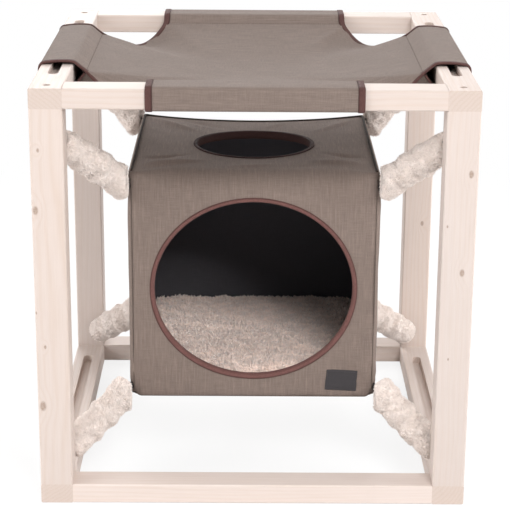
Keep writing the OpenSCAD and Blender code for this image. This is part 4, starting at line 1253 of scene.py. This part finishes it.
def house_shell(inset, look, creases=0.0):
    """The house's surface, inset from the outside, with both holes: points, faces and cloth map."""
    half = HOUSE_HALF - inset
    z0, z1 = HOUSE_LOW[2] + inset, HOUSE_HIGH[2] - inset
    line, normal, share = house_line(half, max(HOUSE_EDGE - inset, 1.5 * MM))
    around = len(line)
    run = run_along(np.vstack([line, line[:1]]))
    front = np.zeros(around)
    front[:SIDE_POINTS] = smooth(0, 0.06, HOUSE_HALF - HOUSE_EDGE - np.abs(line[:SIDE_POINTS, 0]))
    top_r = np.maximum(EDGE_R + (look.fold - EDGE_R) * front - inset * INSET_SHARE, 1.0 * MM)
    low_r = max(LOW_EDGE_R - inset * INSET_SHARE, 1.0 * MM)
    points = house_rows(line, normal, z0, z1, low_r, top_r)
    count = len(points)
    steps = np.linalg.norm(np.diff(points, axis=0), axis=2)
    profile = np.concatenate([np.zeros((1, around)), np.cumsum(steps, axis=0)])
    profile -= profile[BASE_N]

    row = np.repeat(np.arange(count), around)
    on_lid = row >= LID_ROW
    on_wall = (row > BASE_N) & ~on_lid
    is_front = np.tile(np.arange(around) < SIDE_POINTS, count)
    flat = points.reshape(-1, 3).copy()
    n3 = np.tile(at_height(normal, 0.0), (count, 1))
    high = np.clip((flat[:, 2] - HOUSE_LOW[2]) / (HOUSE_HIGH[2] - HOUSE_LOW[2]), 0, 1)
    side_share = np.tile(share, count)
    swell_out = look.bulge * np.sin(math.pi * high) * (1 - side_share**2) * on_wall * ~is_front
    flat += n3 * swell_out[:, None]
    flat = low_corners(flat, half, z0, LOW_CORNER - inset * INSET_SHARE)
    if creases:
        below_fold = smooth(0.004, 0.03, z1 - np.tile(top_r, count) - flat[:, 2])
        plain = np.where(on_lid, smooth(0.0, 0.25, (row - LID_ROW) / LID_N), below_fold)
        flat += house_creases(flat, n3, on_wall, on_lid, creases, plain)
    flat[:, 2] -= house_sag(flat[:, 0], flat[:, 1], look) * high

    x, z = flat[:, 0], flat[:, 2] - ENTRY_AT[2]
    oval = np.sqrt((x / (ENTRY_A + HOLE_ROOM)) ** 2 + (z / (ENTRY_B + HOLE_ROOM)) ** 2)
    inside = (oval < 1) & is_front & on_wall
    lid_shift = profile[LID_ROW, SIDE_MIDDLE] - points[LID_ROW, SIDE_MIDDLE, 1]
    faces, pairs = [], []
    for k, f in enumerate(rows_to_faces(count, around)):
        r, i = divmod(k, around)
        if r == 0:
            f = f[2:] + (0,)
        if inside[list(f)].all():
            continue
        faces.append(f)
        if r >= LID_ROW:
            pairs += [(flat[v, 0] + run[SIDE_MIDDLE], flat[v, 1] + lid_shift) for v in f]
        elif r < BASE_N:
            pairs += [(flat[v, 0], flat[v, 1]) for v in f]
        else:
            us = (run[i], run[i + 1], run[i + 1], run[i])
            pairs += [(u, profile[v // around, v % around]) for u, v in zip(us, f)]
    snap = [v for v in {v for f in faces for v in f} if inside[v]]
    flat[snap, 0] /= oval[snap]
    flat[snap, 2] = ENTRY_AT[2] + z[snap] / oval[snap]
    verts, faces = compact(flat, faces)
    return verts, faces, pairs


# Soft folds of the top, from the corners towards the hole: both ends, half width and height, in mm
TOP_FOLDS = (
    (-172, -135, -70, -92, 9, 2.6),
    (-168, -100, -95, -62, 7, -1.8),
    (-160, 165, -80, 85, 10, 1.8),
    (-120, 172, -40, 118, 9, -1.4),
    (170, -128, 75, -95, 10, 2.2),
    (165, -92, 98, -50, 8, -1.6),
    (165, 160, 85, 80, 10, 1.6),
    (60, 170, 15, 120, 8, 1.2),
    (-60, -140, 40, -118, 10, 1.5),
    (20, -150, 110, -122, 9, -1.3),
)
FOLD_HEIGHT = 1.7


def house_creases(flat, normal, on_wall, on_lid, height, plain):
    """Pulled creases from the strap corners, and some unevenness; none at the bindings."""
    entry = np.sqrt((flat[:, 0] / ENTRY_A) ** 2 + ((flat[:, 2] - ENTRY_AT[2]) / ENTRY_B) ** 2)
    clear = np.where(flat[:, 1] < -HOUSE_HALF + 0.05, smooth(1.07, 1.2, entry), 1.0)
    hatch = np.hypot(flat[:, 0] - HATCH_AT[0], flat[:, 1] - HATCH_AT[1])
    clear *= np.where(on_lid, smooth(HATCH_R + 0.010, HATCH_R + 0.035, hatch), 1.0)
    lift = 0.55 * MM * noise(flat, 0.07, 31) + 0.3 * MM * noise(flat, 0.03, 32)
    bend = 4 * noise(flat, 0.09, 35)
    front_or_back = np.abs(np.abs(flat[:, 1]) - HOUSE_HALF) < 2 * MM
    for sx in (-1, 1):
        for sy in (-1, 1):
            for tab in STRAP_TAB.values():
                d = flat - np.array([sx * HOUSE_HALF, sy * HOUSE_HALF, tab[2]])
                far = np.linalg.norm(d, axis=1)
                level_far = np.abs(np.where(front_or_back, d[:, 0], d[:, 1])) + 1e-6
                angle = np.where(on_lid, np.arctan2(d[:, 1], d[:, 0]), np.arctan2(d[:, 2], level_far))
                lift += height * np.sin(10 * angle + bend) * smooth(0.0, 0.03, far) * np.exp(-far / 0.065)
    for x0, y0, x1, y1, wide, tall in TOP_FOLDS:
        a, b = np.array([x0, y0]) * MM, np.array([x1, y1]) * MM
        t = np.clip(((flat[:, :2] - a) @ (b - a)) / ((b - a) @ (b - a)), 0, 1)
        far = np.linalg.norm(flat[:, :2] - a - t[:, None] * (b - a), axis=1)
        ridge = np.exp(-((far / (wide * MM)) ** 2)) * np.sin(math.pi * np.clip(t, 0.05, 0.95))
        lift += on_lid * FOLD_HEIGHT * tall * MM * ridge
    lift = lift * clear * plain
    move = normal * (lift * on_wall)[:, None]
    move[:, 2] += lift * on_lid
    return move


BOARDS = ["board_front", "board_back", "board_left", "board_right", "board_top", "board_bottom"]


class CONDO_OT_house(bpy.types.Operator):
    """Makes the house's cover, its padding and its dark lining, each with the entrance and the hatch"""

    bl_idname = "condo.house"
    bl_label = "House"

    def execute(self, context):
        look = context.scene.condo_house
        for name, inset, thick, crease, cloth, slot, nodes in (
            ("house_cover_cloth", 0.0, 1.2 * MM, look.creases, "taupe", "taupe_cloth", ["house_cover"]),
            ("house_padding", 3.4 * MM, 4.4 * MM, 0.0, "felt", "felt_board", BOARDS),
            ("house_lining_cloth", 8.4 * MM, 1.0 * MM, 0.0, "lining", "dark_lining", ["house_lining"]),
        ):
            verts, faces, pairs = house_shell(inset, look, crease)
            shell = make_piece(name, verts, faces, [finish(cloth)], [(v, u) for u, v in pairs])
            thicken(shell, thick)
            enter(shell, slot, "house", *nodes)
        return {"FINISHED"}


def binding_profile():
    """Section of a binding over the wall's edge: first value away from the hole, second value outwards."""
    w, t, wall = TAPE_WIDTH, 1.2 * MM, WALL
    return np.array([
        (w, 0.0),
        (w - 0.2 * MM, t * 0.9),
        (w * 0.6, t * 1.15),
        (w * 0.25, t * 1.05),
        (0.8 * MM, t * 0.5),
        (0.0, -0.9 * MM),
        (-0.5 * MM, -wall * 0.35),
        (-0.5 * MM, -wall * 0.65),
        (0.0, -wall + 0.9 * MM),
        (0.8 * MM, -wall - t * 0.5),
        (w * 0.25, -wall - t),
        (w * 0.6, -wall - t),
        (w - 0.2 * MM, -wall - t * 0.9),
        (w, -wall),
    ])


class CONDO_OT_trim(bpy.types.Operator):
    """Makes the bindings round both holes, the piping, the edge seams, the bare patch and their stitches"""

    bl_idname = "condo.trim"
    bl_label = "House trim"

    def execute(self, context):
        look = context.scene.condo_house
        self.bindings(look)
        self.piping(look)
        self.edge_seams()
        self.patch()
        return {"FINISHED"}

    def bindings(self, look):
        """The tapes round the entrance and the hatch, each with a row of stitches."""
        n = 220
        a = angles(n)
        cos, sin, none = np.cos(a), np.sin(a), 0 * a
        wave = 0.25 * MM * noise(np.stack([cos, sin, none], 1), 0.12, 61)
        oval = np.stack([ENTRY_A * cos, np.full(n, -HOUSE_HALF), ENTRY_AT[2] + ENTRY_B * sin], 1)
        oval_side = unit(np.stack([cos / ENTRY_A, none, sin / ENTRY_B], 1))
        oval_up = np.tile([0.0, -1.0, 0.0], (n, 1))
        x, y = HATCH_AT[0] + HATCH_R * cos, HATCH_AT[1] + HATCH_R * sin
        sag = house_sag(x, y, look)
        circle = np.stack([x, y, HOUSE_HIGH[2] - sag], 1)
        slope = (sag - house_sag(x + 0.01 * cos, y + 0.01 * sin, look)) / 0.01
        circle_side = unit(np.stack([cos, sin, slope], 1))
        circle_up = unit(np.array([0, 0, 1.0]) - circle_side * circle_side[:, 2:])
        rims = ((oval, oval_side, oval_up), (circle, circle_side, circle_up))
        self.ring("entry_binding_tape", *rims[0], wave, "entry_binding", "binding")
        # The hatch's tape is the russet tape drawn darker: painted shade
        self.ring("hatch_binding_tape", *rims[1], wave, "hatch_binding", "dark_binding")
        lines = [(path + side * TAPE_STITCH + up * 1.25 * MM, True) for path, side, up in rims]
        threads = stitch_lines("binding_stitches", lines, finish("russet_thread"), thread=0.6 * MM)
        enter(threads, "russet_binding", "house")

    def ring(self, name, path, side, up, wave, node, cloth):
        """One tape round a hole, slightly uneven on its face."""
        profile = binding_profile()
        verts = carried(path, side, up, profile)
        verts[:, 1:5] += up[:, None] * (wave[:, None, None] + 0.1 * MM)
        verts = verts.reshape(-1, 3)
        faces = outward(verts, rows_to_faces(len(path), len(profile), ring=True))
        uv = corner_uv(faces, tape_pairs(path, profile))
        tape = make_piece(name, verts, faces, [finish(cloth)], uv)
        enter(tape, "russet_binding", "house", node)

    def piping(self, look):
        """A corded edge along the left, back and right sides of the top."""
        tilt, proud = math.radians(68), 1.1 * MM
        inward, rise = EDGE_R * (1 - math.cos(tilt)), EDGE_R * (1 - math.sin(tilt))
        line, normal, _ = house_line(HOUSE_HALF, HOUSE_EDGE)
        sides = slice(PER_SIDE, 4 * PER_SIDE - CORNER_POINTS)
        line, normal = line[sides], normal[sides]
        z = HOUSE_HIGH[2] + proud * math.sin(tilt) - rise - house_sag(line[:, 0], line[:, 1], look)
        path = resample(at_height(line + normal * (proud * math.cos(tilt) - inward), z), 420)
        path[:, 2] += 0.3 * MM * noise(path, 0.05, 71)
        cord = make_piece("house_piping", *tube(path, 1.8 * MM, 10), [finish("piping")])
        enter(cord, "dark_webbing", "house", "top_piping")

    def edge_seams(self):
        """Fine seams down the upright edges, beside the front and the back, and round the bottom, drawn in a
        darkened taupe as painted shade in the seam folds.
        """
        line, normal, _ = house_line(HOUSE_HALF, HOUSE_EDGE)
        n = 90
        z = np.linspace(HOUSE_LOW[2] + 15 * MM, HOUSE_HIGH[2] - 9 * MM, n)
        shapes = []
        for q in range(4):
            k = q * PER_SIDE + SIDE_POINTS + (1 if q in (0, 2) else 3)
            path = at_height(np.tile(line[k] + normal[k] * 0.35 * MM, (n, 1)), z)
            path[:, :2] += normal[k] * (0.35 * MM * noise(path, 0.04, 80 + q))[:, None]
            shapes.append(tube(path, 0.8 * MM, 6))
        loop = at_height(line - normal * 2.4 * MM, HOUSE_LOW[2] + 2.4 * MM)
        loop = low_corners(loop, HOUSE_HALF, HOUSE_LOW[2], LOW_CORNER)
        shapes.append(tube(resample(np.vstack([loop, loop[:1]]), 400, True), 0.55 * MM, 6, True))
        seams = make_piece("house_seams", *join_shapes(shapes), [finish("seam")])
        enter(seams, "dark_webbing", "house")

    def patch(self):
        """The bare cloth patch, with a turned edge and a row of stitches round it."""
        wide, tall, tilt = 46 * MM, 32 * MM, math.radians(3)
        at = (PATCH_LOW + PATCH_HIGH) / 2
        c, s = math.cos(tilt), math.sin(tilt)

        def on_front(x, z, height):
            """Places on the front of the house, from places on the patch."""
            y = np.broadcast_to(-HOUSE_HALF - height, len(x))
            return np.stack([at[0] + x * c + z * s, y, at[2] - x * s + z * c], 1)

        nx, nz = 37, 27
        x, z = (v.ravel() for v in np.meshgrid(np.linspace(-1, 1, nx), np.linspace(-1, 1, nz)))
        edge = np.minimum((1 - np.abs(x)) * wide / 2, (1 - np.abs(z)) * tall / 2)
        x, z = x * wide / 2, z * tall / 2
        grid = np.stack([x, z, 0 * x], 1)
        high = 0.35 * MM + 0.75 * MM * np.sqrt(np.clip(edge / (1.2 * MM), 0, 1))
        high -= 0.4 * MM * np.exp(-(((edge - 2.6 * MM) / (0.7 * MM)) ** 2))
        high += 0.18 * MM * noise(grid, 0.012, 91)
        verts = np.vstack([on_front(x, z, high), on_front(x, z, -0.2 * MM)])
        front = rows_to_faces(nz, nx, closed=False)
        faces = front + [tuple(i + nx * nz for i in f) for f in turned_over(front)]
        index = np.arange(nx * nz).reshape(nz, nx)
        border = [*index[0], *index[1:, -1], *index[-1, -2::-1], *index[-2:0:-1, 0]]
        for i, j in zip(border, border[1:] + border[:1]):
            faces.append((j, i, i + nx * nz, j + nx * nz))
        faces = outward(verts, faces)
        uv = corner_uv(faces, np.vstack([grid[:, :2], grid[:, :2]]))
        patch = make_piece("bare_patch", verts, faces, [finish("patch")], uv)
        enter(patch, "grey_patch", "house", "cloth_patch")
        bx, bz = wide / 2 - 2.4 * MM, tall / 2 - 2.4 * MM
        ring = resample(np.array([(-bx, -bz), (bx, -bz), (bx, bz), (-bx, bz), (-bx, -bz)]), 160, True)
        line = on_front(ring[:, 0], ring[:, 1], 0.95 * MM)
        sizes = (2.6 * MM, 1.9 * MM, 0.5 * MM)
        threads = stitch_lines("patch_stitches", [(line, True)], finish("patch_thread"), *sizes)
        enter(threads, "grey_patch", "house")


# Cushion

PAD_AROUND = 120
PAD_RINGS = 22
PAD_EDGE_ROWS = 12
PAD_EDGE = 0.966
CUSHION_TUFT = 1.5 * MM
CUSHION_LEAN = 1.6
CUSHION_SEED = 17


class CONDO_OT_cushion(bpy.types.Operator):
    """Makes the loose plush cushion: a stuffed pad, swelled by cloth simulation, with a deep pile"""

    bl_idname = "condo.cushion"
    bl_label = "Cushion"

    def execute(self, context):
        look = context.scene.condo_plush
        low, high = CUSHION_LOW, CUSHION_HIGH
        z0, z1 = float(low[2]) + 0.4 * MM, float(high[2]) - 4.5 * MM
        verts, faces = self.pad(float(high[0]) - 4.5 * MM, z0, z1)
        # The base's finish is drawn darker than the pile: painted shade under the tufts
        pad = make_piece("cushion_pad", verts, faces, [finish("beige_shaded_base"), finish("beige_pile")])
        swell(pad, 4.0, 5 * MM, low[2] + 0.4 * MM)
        xyz = points_of(pad.data)
        limit = float(high[0]) - 2.5 * MM
        xyz[:, :2] *= (limit + 1.5 * MM) / np.abs(xyz[:, :2]).max()
        xyz[:, :2] = np.clip(xyz[:, :2], -limit, limit)
        rim = np.abs(xyz[:, :2]).max(1)
        upper = smooth((z0 + z1) / 2, z1 - 4 * MM, xyz[:, 2])
        full = high[2] - 3.2 * MM - 5 * MM * smooth(limit - 9 * MM, limit, rim)
        lumps = 2.4 * MM * noise(xyz, 0.018, 43) + 1.2 * MM * noise(xyz, 0.008, 44)
        xyz[:, 2] += upper * (np.maximum(full - xyz[:, 2], 0) + lumps)
        xyz[:, 2] = np.clip(xyz[:, 2], low[2] + 0.2 * MM, high[2] - 0.2 * MM)
        move_points(pad.data, xyz)
        raised = smooth(low[2] + 4 * MM, low[2] + 10 * MM, xyz[:, 2])
        cover = np.maximum(raised * smooth(limit + 1 * MM, limit - 6 * MM, rim), 0.35 * raised)
        tufts = (look.cushion_density, look.cushion_pile, CUSHION_TUFT, CUSHION_LEAN, CUSHION_SEED)
        grow_pile(pad, finish("beige_pile"), cover, *tufts)
        enter(pad, "beige_plush", "cushion", "cushion")
        return {"FINISHED"}

    def pad(self, half, z0, z1):
        """Points and faces of a square pad with rounded corners and a round edge."""
        n = PAD_AROUND
        a = angles(n)
        squared = (np.abs(np.cos(a)) ** 12 + np.abs(np.sin(a)) ** 12) ** (-1 / 12)
        outline = np.stack([np.cos(a) * squared, np.sin(a) * squared], 1) * half
        outline = outline * (1 - 0.01 * np.abs(np.cos(2 * a)))[:, None]
        rows = [at_height(outline * (k / PAD_RINGS * PAD_EDGE), z0) for k in range(PAD_RINGS + 1)]
        for k in range(1, PAD_EDGE_ROWS + 1):
            w = math.pi * k / (PAD_EDGE_ROWS + 1)
            z = z0 + (z1 - z0) * (1 - math.cos(w)) / 2
            rows.append(at_height(outline * (PAD_EDGE + (1 - PAD_EDGE) * math.sin(w)), z))
        for k in range(PAD_RINGS + 1):
            w = 1 - k / PAD_RINGS
            rows.append(at_height(outline * (PAD_EDGE * w), z1 + 2.0 * MM * (1 - w**4)))
        flat = np.vstack(rows)
        lumps = 1.5 * MM * noise(flat, 0.06, 41) + 1.0 * MM * noise(flat, 0.026, 42)
        flat[:, 2] += np.where(flat[:, 2] > (z0 + z1) / 2, lumps, 0)
        last = (len(rows) - 1) * n
        faces = []
        for f in rows_to_faces(len(rows), n):
            if f[0] < n:
                f = (0, f[2], f[3])
            elif f[2] >= last:
                f = (f[0], f[1], last)
            faces.append(f)
        verts, faces = compact(flat, faces)
        return verts, outward(verts, faces)


SWELL_FRAMES = 20
SWELL_MESH = 5 * MM
SWELL_SETTINGS = {
    "quality": 5,
    "mass": 0.3,
    "tension_stiffness": 12,
    "compression_stiffness": 12,
    "bending_stiffness": 0.4,
    "use_pressure": True,
}


def swell(piece, pressure, cap, floor):
    """Swells a closed pad by Blender's cloth with pressure. No point moves further than cap."""
    remesh = piece.modifiers.new("Remesh", "REMESH")
    remesh.mode = "VOXEL"
    remesh.voxel_size = SWELL_MESH
    remesh.use_smooth_shade = True
    settle(piece)
    start = points_of(piece.data)
    cloth = piece.modifiers.new("Cloth", "CLOTH").settings
    for key, value in SWELL_SETTINGS.items():
        setattr(cloth, key, value)
    cloth.uniform_pressure_force = pressure
    cloth.effector_weights.gravity = 0
    scene = bpy.context.scene
    for step in range(1, SWELL_FRAMES + 1):
        scene.frame_set(step)
    done = piece.evaluated_get(bpy.context.evaluated_depsgraph_get())
    shift = points_of(done.data) - start
    piece.modifiers.clear()
    scene.frame_set(1)
    far = np.linalg.norm(shift, axis=1, keepdims=True)
    final = start + shift * np.minimum(1, cap / np.maximum(far, 1e-9))
    final[:, 2] = np.maximum(final[:, 2], floor)
    move_points(piece.data, final)
    piece.modifiers.new("Finer", "SUBSURF")
    settle(piece)


# Straps

SLEEVE_AROUND = 60
SLEEVE_ALONG = 84
SLEEVE_FIRST = 6 * MM
SLEEVE_LAST = 7 * MM
TAB_ROOM = 3.2 * MM
STRAP_TUFT = 0.8 * MM
STRAP_LEAN = 1.15


class Strap:
    """One strap's line and directions, at the front left corner, and its mirroring to another corner."""

    def __init__(self, level, corner):
        self.level, self.corner = level, corner
        self.mirror = np.array([*CORNERS[corner], 1.0])
        self.eye, self.tab = STRAP_EYE[level], STRAP_TAB[level]
        self.length = float(np.linalg.norm(self.tab - self.eye))
        self.along = unit(self.tab - self.eye)
        self.side = unit(np.cross([0, 1.0, 0], self.along))
        self.up = np.cross(self.along, self.side)

    def at(self, s, r=0.0, a=0.0):
        """Places along the strap, at a radius and an angle about its line."""
        s, r, a = np.broadcast_arrays(*(np.asarray(v, float) for v in (s, r, a)))
        return (self.eye + s[..., None] * self.along + (r * np.cos(a))[..., None] * self.side
                + (r * np.sin(a))[..., None] * self.up)

    def kept_clear(self, p):
        """Points pushed off the post's face and drawn back from the house; also how far each was moved."""
        q = p.copy()
        q[..., 1] = np.maximum(q[..., 1], -POST_FACE + 0.8 * MM)
        past = (q[..., :2] + HOUSE_HALF + TAB_ROOM) / self.along[:2]
        lapped = (q[..., 0] + HOUSE_HALF + TAB_ROOM - SLEEVE_LAP) / self.along[0]
        back = np.maximum(past.min(-1), lapped)
        q -= np.maximum(back, 0)[..., None] * self.along
        return q, np.linalg.norm(q - p, axis=-1)

    def placed(self, verts):
        return np.asarray(verts) * self.mirror

    def start_end(self, first, last):
        return (tuple(self.at(first) * self.mirror), tuple(self.at(self.length - last) * self.mirror))


class CONDO_OT_straps(bpy.types.Operator):
    """Makes the eight straps: an elastic cord with two end loops in a ruffled plush sleeve"""

    bl_idname = "condo.straps"
    bl_label = "Straps"

    def execute(self, context):
        look = context.scene.condo_plush
        straps = [Strap(level, corner) for level in STRAP_EYE for corner in CORNERS]
        for k, strap in enumerate(straps):
            self.sleeve(strap, look, 100 + 10 * (k % len(CORNERS)) + (5 if strap.level == "up" else 0))
        for strap in straps:
            self.cord(strap, strap is straps[0])
        return {"FINISHED"}

    def sleeve(self, strap, look, seed):
        """A plush sleeve: a ruffled outside, and an inside that leaves room for the hook, cord and ring."""
        run = strap.length - SLEEVE_FIRST - SLEEVE_LAST
        ring = angles(SLEEVE_AROUND)
        u, a = np.meshgrid(np.linspace(0, 1, SLEEVE_ALONG), ring, indexing="ij")
        form = 18.2 * MM + 2.6 * MM * np.sin(math.pi * u) ** 0.5 + 4.5 * MM * smooth(0.7, 1.0, u)
        form += 1.6 * MM * np.sin(TAU * 4 * u + math.radians(70) * np.sin(2 * a)) * np.sin(math.pi * u)
        places = np.stack([u.ravel() * 3, np.cos(a).ravel(), np.sin(a).ravel()], 1)
        wave = noise(places, 0.55, seed).reshape(u.shape)
        fine = noise(places, 0.22, seed + 1).reshape(u.shape)
        ruffle = np.sin(TAU * 7.5 * u + 2.2 * wave + 1.2 * np.sin(a + seed))
        uneven = (0.75 + 0.75 * wave) * MM * ruffle + 0.8 * MM * fine + 0.9 * MM * wave
        form += uneven * np.sin(math.pi * np.minimum(u, 0.85)) ** 0.6
        form -= 0.6 * MM
        outer, moved = strap.kept_clear(strap.at(SLEEVE_FIRST + u * run, form, a))
        inner = np.array([
            strap.kept_clear(strap.at(s, r * MM, ring))[0] for s, r in self.inside_stations(strap)])
        rows = np.concatenate([outer, inner])
        verts = strap.placed(rows.reshape(-1, 3))
        faces = outward(verts, rows_to_faces(len(rows), SLEEVE_AROUND, ring=True))
        name = f"{strap.level}_{strap.corner}"
        # The base's finish is drawn darker than the pile: painted shade under the tufts
        piece = make_piece(f"plush_{name}", verts, faces, [finish("cream_shaded_base"), finish("cream_pile")])
        gathered = np.zeros((len(inner), SLEEVE_AROUND))
        gathered[:2] = 0.8
        cover = np.concatenate([smooth(6.0 * MM, 0.3 * MM, moved).ravel(), gathered.ravel()])
        tufts = (look.strap_density, look.strap_pile, STRAP_TUFT, STRAP_LEAN, seed)
        grow_pile(piece, finish("cream_pile"), cover, *tufts)
        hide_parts(f"sleeve_{name}")
        start, end = strap.start_end(HOOK_END, SLEEVE_LAST + 4 * MM)
        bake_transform(piece)

    def inside_stations(self, strap):
        """Places along the strap, with the inner radius there in mm, from the house end to the post end."""
        end = strap.length
        near, far = LOOP_NEAR + LOOP_R, end - LOOP_FAR - LOOP_R
        return (
            (end - 4.4 * MM, 13.0),
            (end - 3.8 * MM, 8.0),
            (end - 4.6 * MM, 5.6),
            (end - 6.2 * MM, 10.6),
            (end - SLEEVE_LAST - 2 * MM, 11.4),
            (far, 11.4),
            (far - 7 * MM, 4.7),
            (near + 7 * MM, 4.7),
            (near, 11.4),
            (SLEEVE_FIRST, 11.4),
        )

    def cord(self, strap, is_first):
        """An elastic cord with a loop at each end; the first one stands for the solids of all eight."""
        a = angles(28)[:, None]
        near, far = LOOP_NEAR, strap.length - LOOP_FAR
        circle = LOOP_R * (np.cos(a) * strap.along + np.sin(a) * strap.up)
        shapes = [tube(strap.at(s) + circle, LOOP_CORD, 10, True) for s in (near, far)]
        shapes.append(tube(strap.at(np.linspace(near + LOOP_R, far - LOOP_R, 40)), CORD_R, 14))
        verts, faces = join_shapes(shapes)
        if strap.mirror.prod() < 0:
            faces = turned_over(faces)
        name = f"cord_{strap.level}_{strap.corner}"
        cord = make_piece(name, strap.placed(verts), faces, [finish("cord")])
        if is_first:
            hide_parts("strap_cords")
        start, end = strap.start_end(near + LOOP_R, LOOP_FAR + LOOP_R)
        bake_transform(cord)


# Stage

FLOOR_HALF = 6.0
FLOOR_DROP = 0.4 * MM
CAMERA_AT = (-0.0092, -2.5318, 1.0905)
CAMERA_LENS = 121.94


class CONDO_OT_stage(bpy.types.Operator):
    """Sets up the pale floor, the soft studio light and the camera"""

    bl_idname = "condo.stage"
    bl_label = "Stage"

    def execute(self, context):
        scene = context.scene
        look = scene.condo_stage
        scene.view_settings.view_transform = "Standard"
        self.world(scene, look)
        self.floor(look)
        for name, at, target, size, power in (
            ("key_lamp", (0.8, -2.3, 2.1), (0, 0, 0.3), 1.3, look.key),
            ("back_lamp", (-0.4, 2.5, 1.55), (0, 0, 0.45), 2.0, look.back),
            ("left_lamp", (-2.35, -1.1, 1.25), (0, 0, 0.35), 1.5, look.sides),
            ("right_lamp", (2.55, -0.4, 1.25), (0, 0, 0.35), 1.5, look.sides),
        ):
            self.lamp(name, "AREA", at, target, power, shape="DISK", size=size)
        beam = {"spot_size": math.radians(6.4), "spot_blend": 0.6, "shadow_soft_size": 0.12}
        self.lamp("entrance_lamp", "SPOT", (0.55, -1.7, 1.15), (-0.11, 0.03, 0.16), look.inside, **beam)
        self.camera(scene)
        return {"FINISHED"}

    def world(self, scene, look):
        """An even light, which looks white where it is seen."""
        world = bpy.data.worlds.new("studio")
        scene.world = world
        world.use_nodes = True
        world.node_tree.nodes.clear()
        n = Nodes(world.node_tree)
        light = n.node("Background", {"Color": (1, 1, 1), "Strength": look.world}).outputs[0]
        white = n.node("Background", {"Color": (1, 1, 1), "Strength": 1.0}).outputs[0]
        pick = n.node("MixShader", {0: n.seen(), 1: light, 2: white}).outputs[0]
        n.node("OutputWorld", {"Surface": pick})

    def floor(self, look):
        """A pale floor, which runs out into white."""
        size = FLOOR_HALF
        verts = [(-size, -size, 0), (size, -size, 0), (size, size, 0), (-size, size, 0)]
        s = Shader("pale_floor", 0.9)
        place = s.place()
        dust = s.range(s.noise(place, 3.0, 3.0), 0.3, 0.7, 0.0, 0.03)
        s.set("Base Color", s.mix(dust, look.floor, (0.88, 0.88, 0.87)))
        white = s.node("Emission", {"Color": (1, 1, 1), "Strength": 1.0}).outputs[0]
        share = s.math("MULTIPLY", s.seen(), s.range(s.vec("LENGTH", place), 0.5, 1.6, 0.8, 1.0))
        pick = s.node("MixShader", {0: share, 1: s.out.outputs[0], 2: white}).outputs[0]
        s.put(s.tree.nodes["Material Output"].inputs["Surface"], pick)
        floor = make_piece("floor", np.array(verts) - [0, 0, FLOOR_DROP], [(0, 1, 2, 3)], [s.material])

    def lamp(self, name, kind, at, target, power, **settings):
        data = bpy.data.lights.new(name, kind)
        data.energy = power
        for key, value in settings.items():
            setattr(data, key, value)
        lamp = link(name, data)
        lamp.location = at
        lamp.visible_camera = False
        lamp.rotation_euler = (Vector(target) - Vector(at)).to_track_quat("-Z", "Y").to_euler()

    def camera(self, scene):
        pitch, yaw, roll = math.radians(17.86), math.radians(0.267), math.radians(0.391)
        ahead = Vector((math.sin(yaw) * math.cos(pitch), math.cos(yaw) * math.cos(pitch), -math.sin(pitch)))
        right = Vector((math.cos(yaw), -math.sin(yaw), 0))
        up = right.cross(ahead)
        c, s = math.cos(roll), math.sin(roll)
        data = bpy.data.cameras.new("camera")
        data.sensor_width = 36
        data.lens = CAMERA_LENS
        camera = link("camera", data)
        turn = Matrix((right * c + up * s, up * c - right * s, -ahead)).transposed().to_4x4()
        camera.matrix_world = Matrix.Translation(CAMERA_AT) @ turn
        scene.camera = camera


# Panel and registration

STEPS = (
    CONDO_OT_stage,
    CONDO_OT_timber,
    CONDO_OT_hardware,
    CONDO_OT_hammock,
    CONDO_OT_house,
    CONDO_OT_trim,
    CONDO_OT_cushion,
    CONDO_OT_straps,
)
GROUPS = {
    "condo_finishes": CondoFinishes,
    "condo_hammock": CondoHammock,
    "condo_house": CondoHouse,
    "condo_plush": CondoPlush,
    "condo_stage": CondoStage,
}


class CONDO_PT_panel(bpy.types.Panel):
    """Values and steps of the cat condo"""

    bl_idname = "CONDO_PT_panel"
    bl_label = "Cat condo"
    bl_space_type = "VIEW_3D"
    bl_region_type = "UI"
    bl_category = "Cat condo"

    def draw(self, context):
        for step in STEPS:
            self.layout.operator(step.bl_idname)
        for name in GROUPS:
            group = getattr(context.scene, name)
            box = self.layout.box()
            for prop in group.bl_rna.properties:
                if prop.identifier not in ("rna_type", "name"):
                    box.prop(group, prop.identifier)


def register():
    for group in GROUPS.values():
        bpy.utils.register_class(group)
    for name, group in GROUPS.items():
        setattr(bpy.types.Scene, name, bpy.props.PointerProperty(type=group))
    for step in STEPS:
        bpy.utils.register_class(step)
    bpy.utils.register_class(CONDO_PT_panel)


def unregister():
    bpy.utils.unregister_class(CONDO_PT_panel)
    for step in reversed(STEPS):
        bpy.utils.unregister_class(step)
    for name in GROUPS:
        delattr(bpy.types.Scene, name)
    for group in GROUPS.values():
        bpy.utils.unregister_class(group)


def main():
    register()
    for step in STEPS:
        group, name = step.bl_idname.split(".")
        getattr(getattr(bpy.ops, group), name)()


if __name__ == "__main__":
    main()
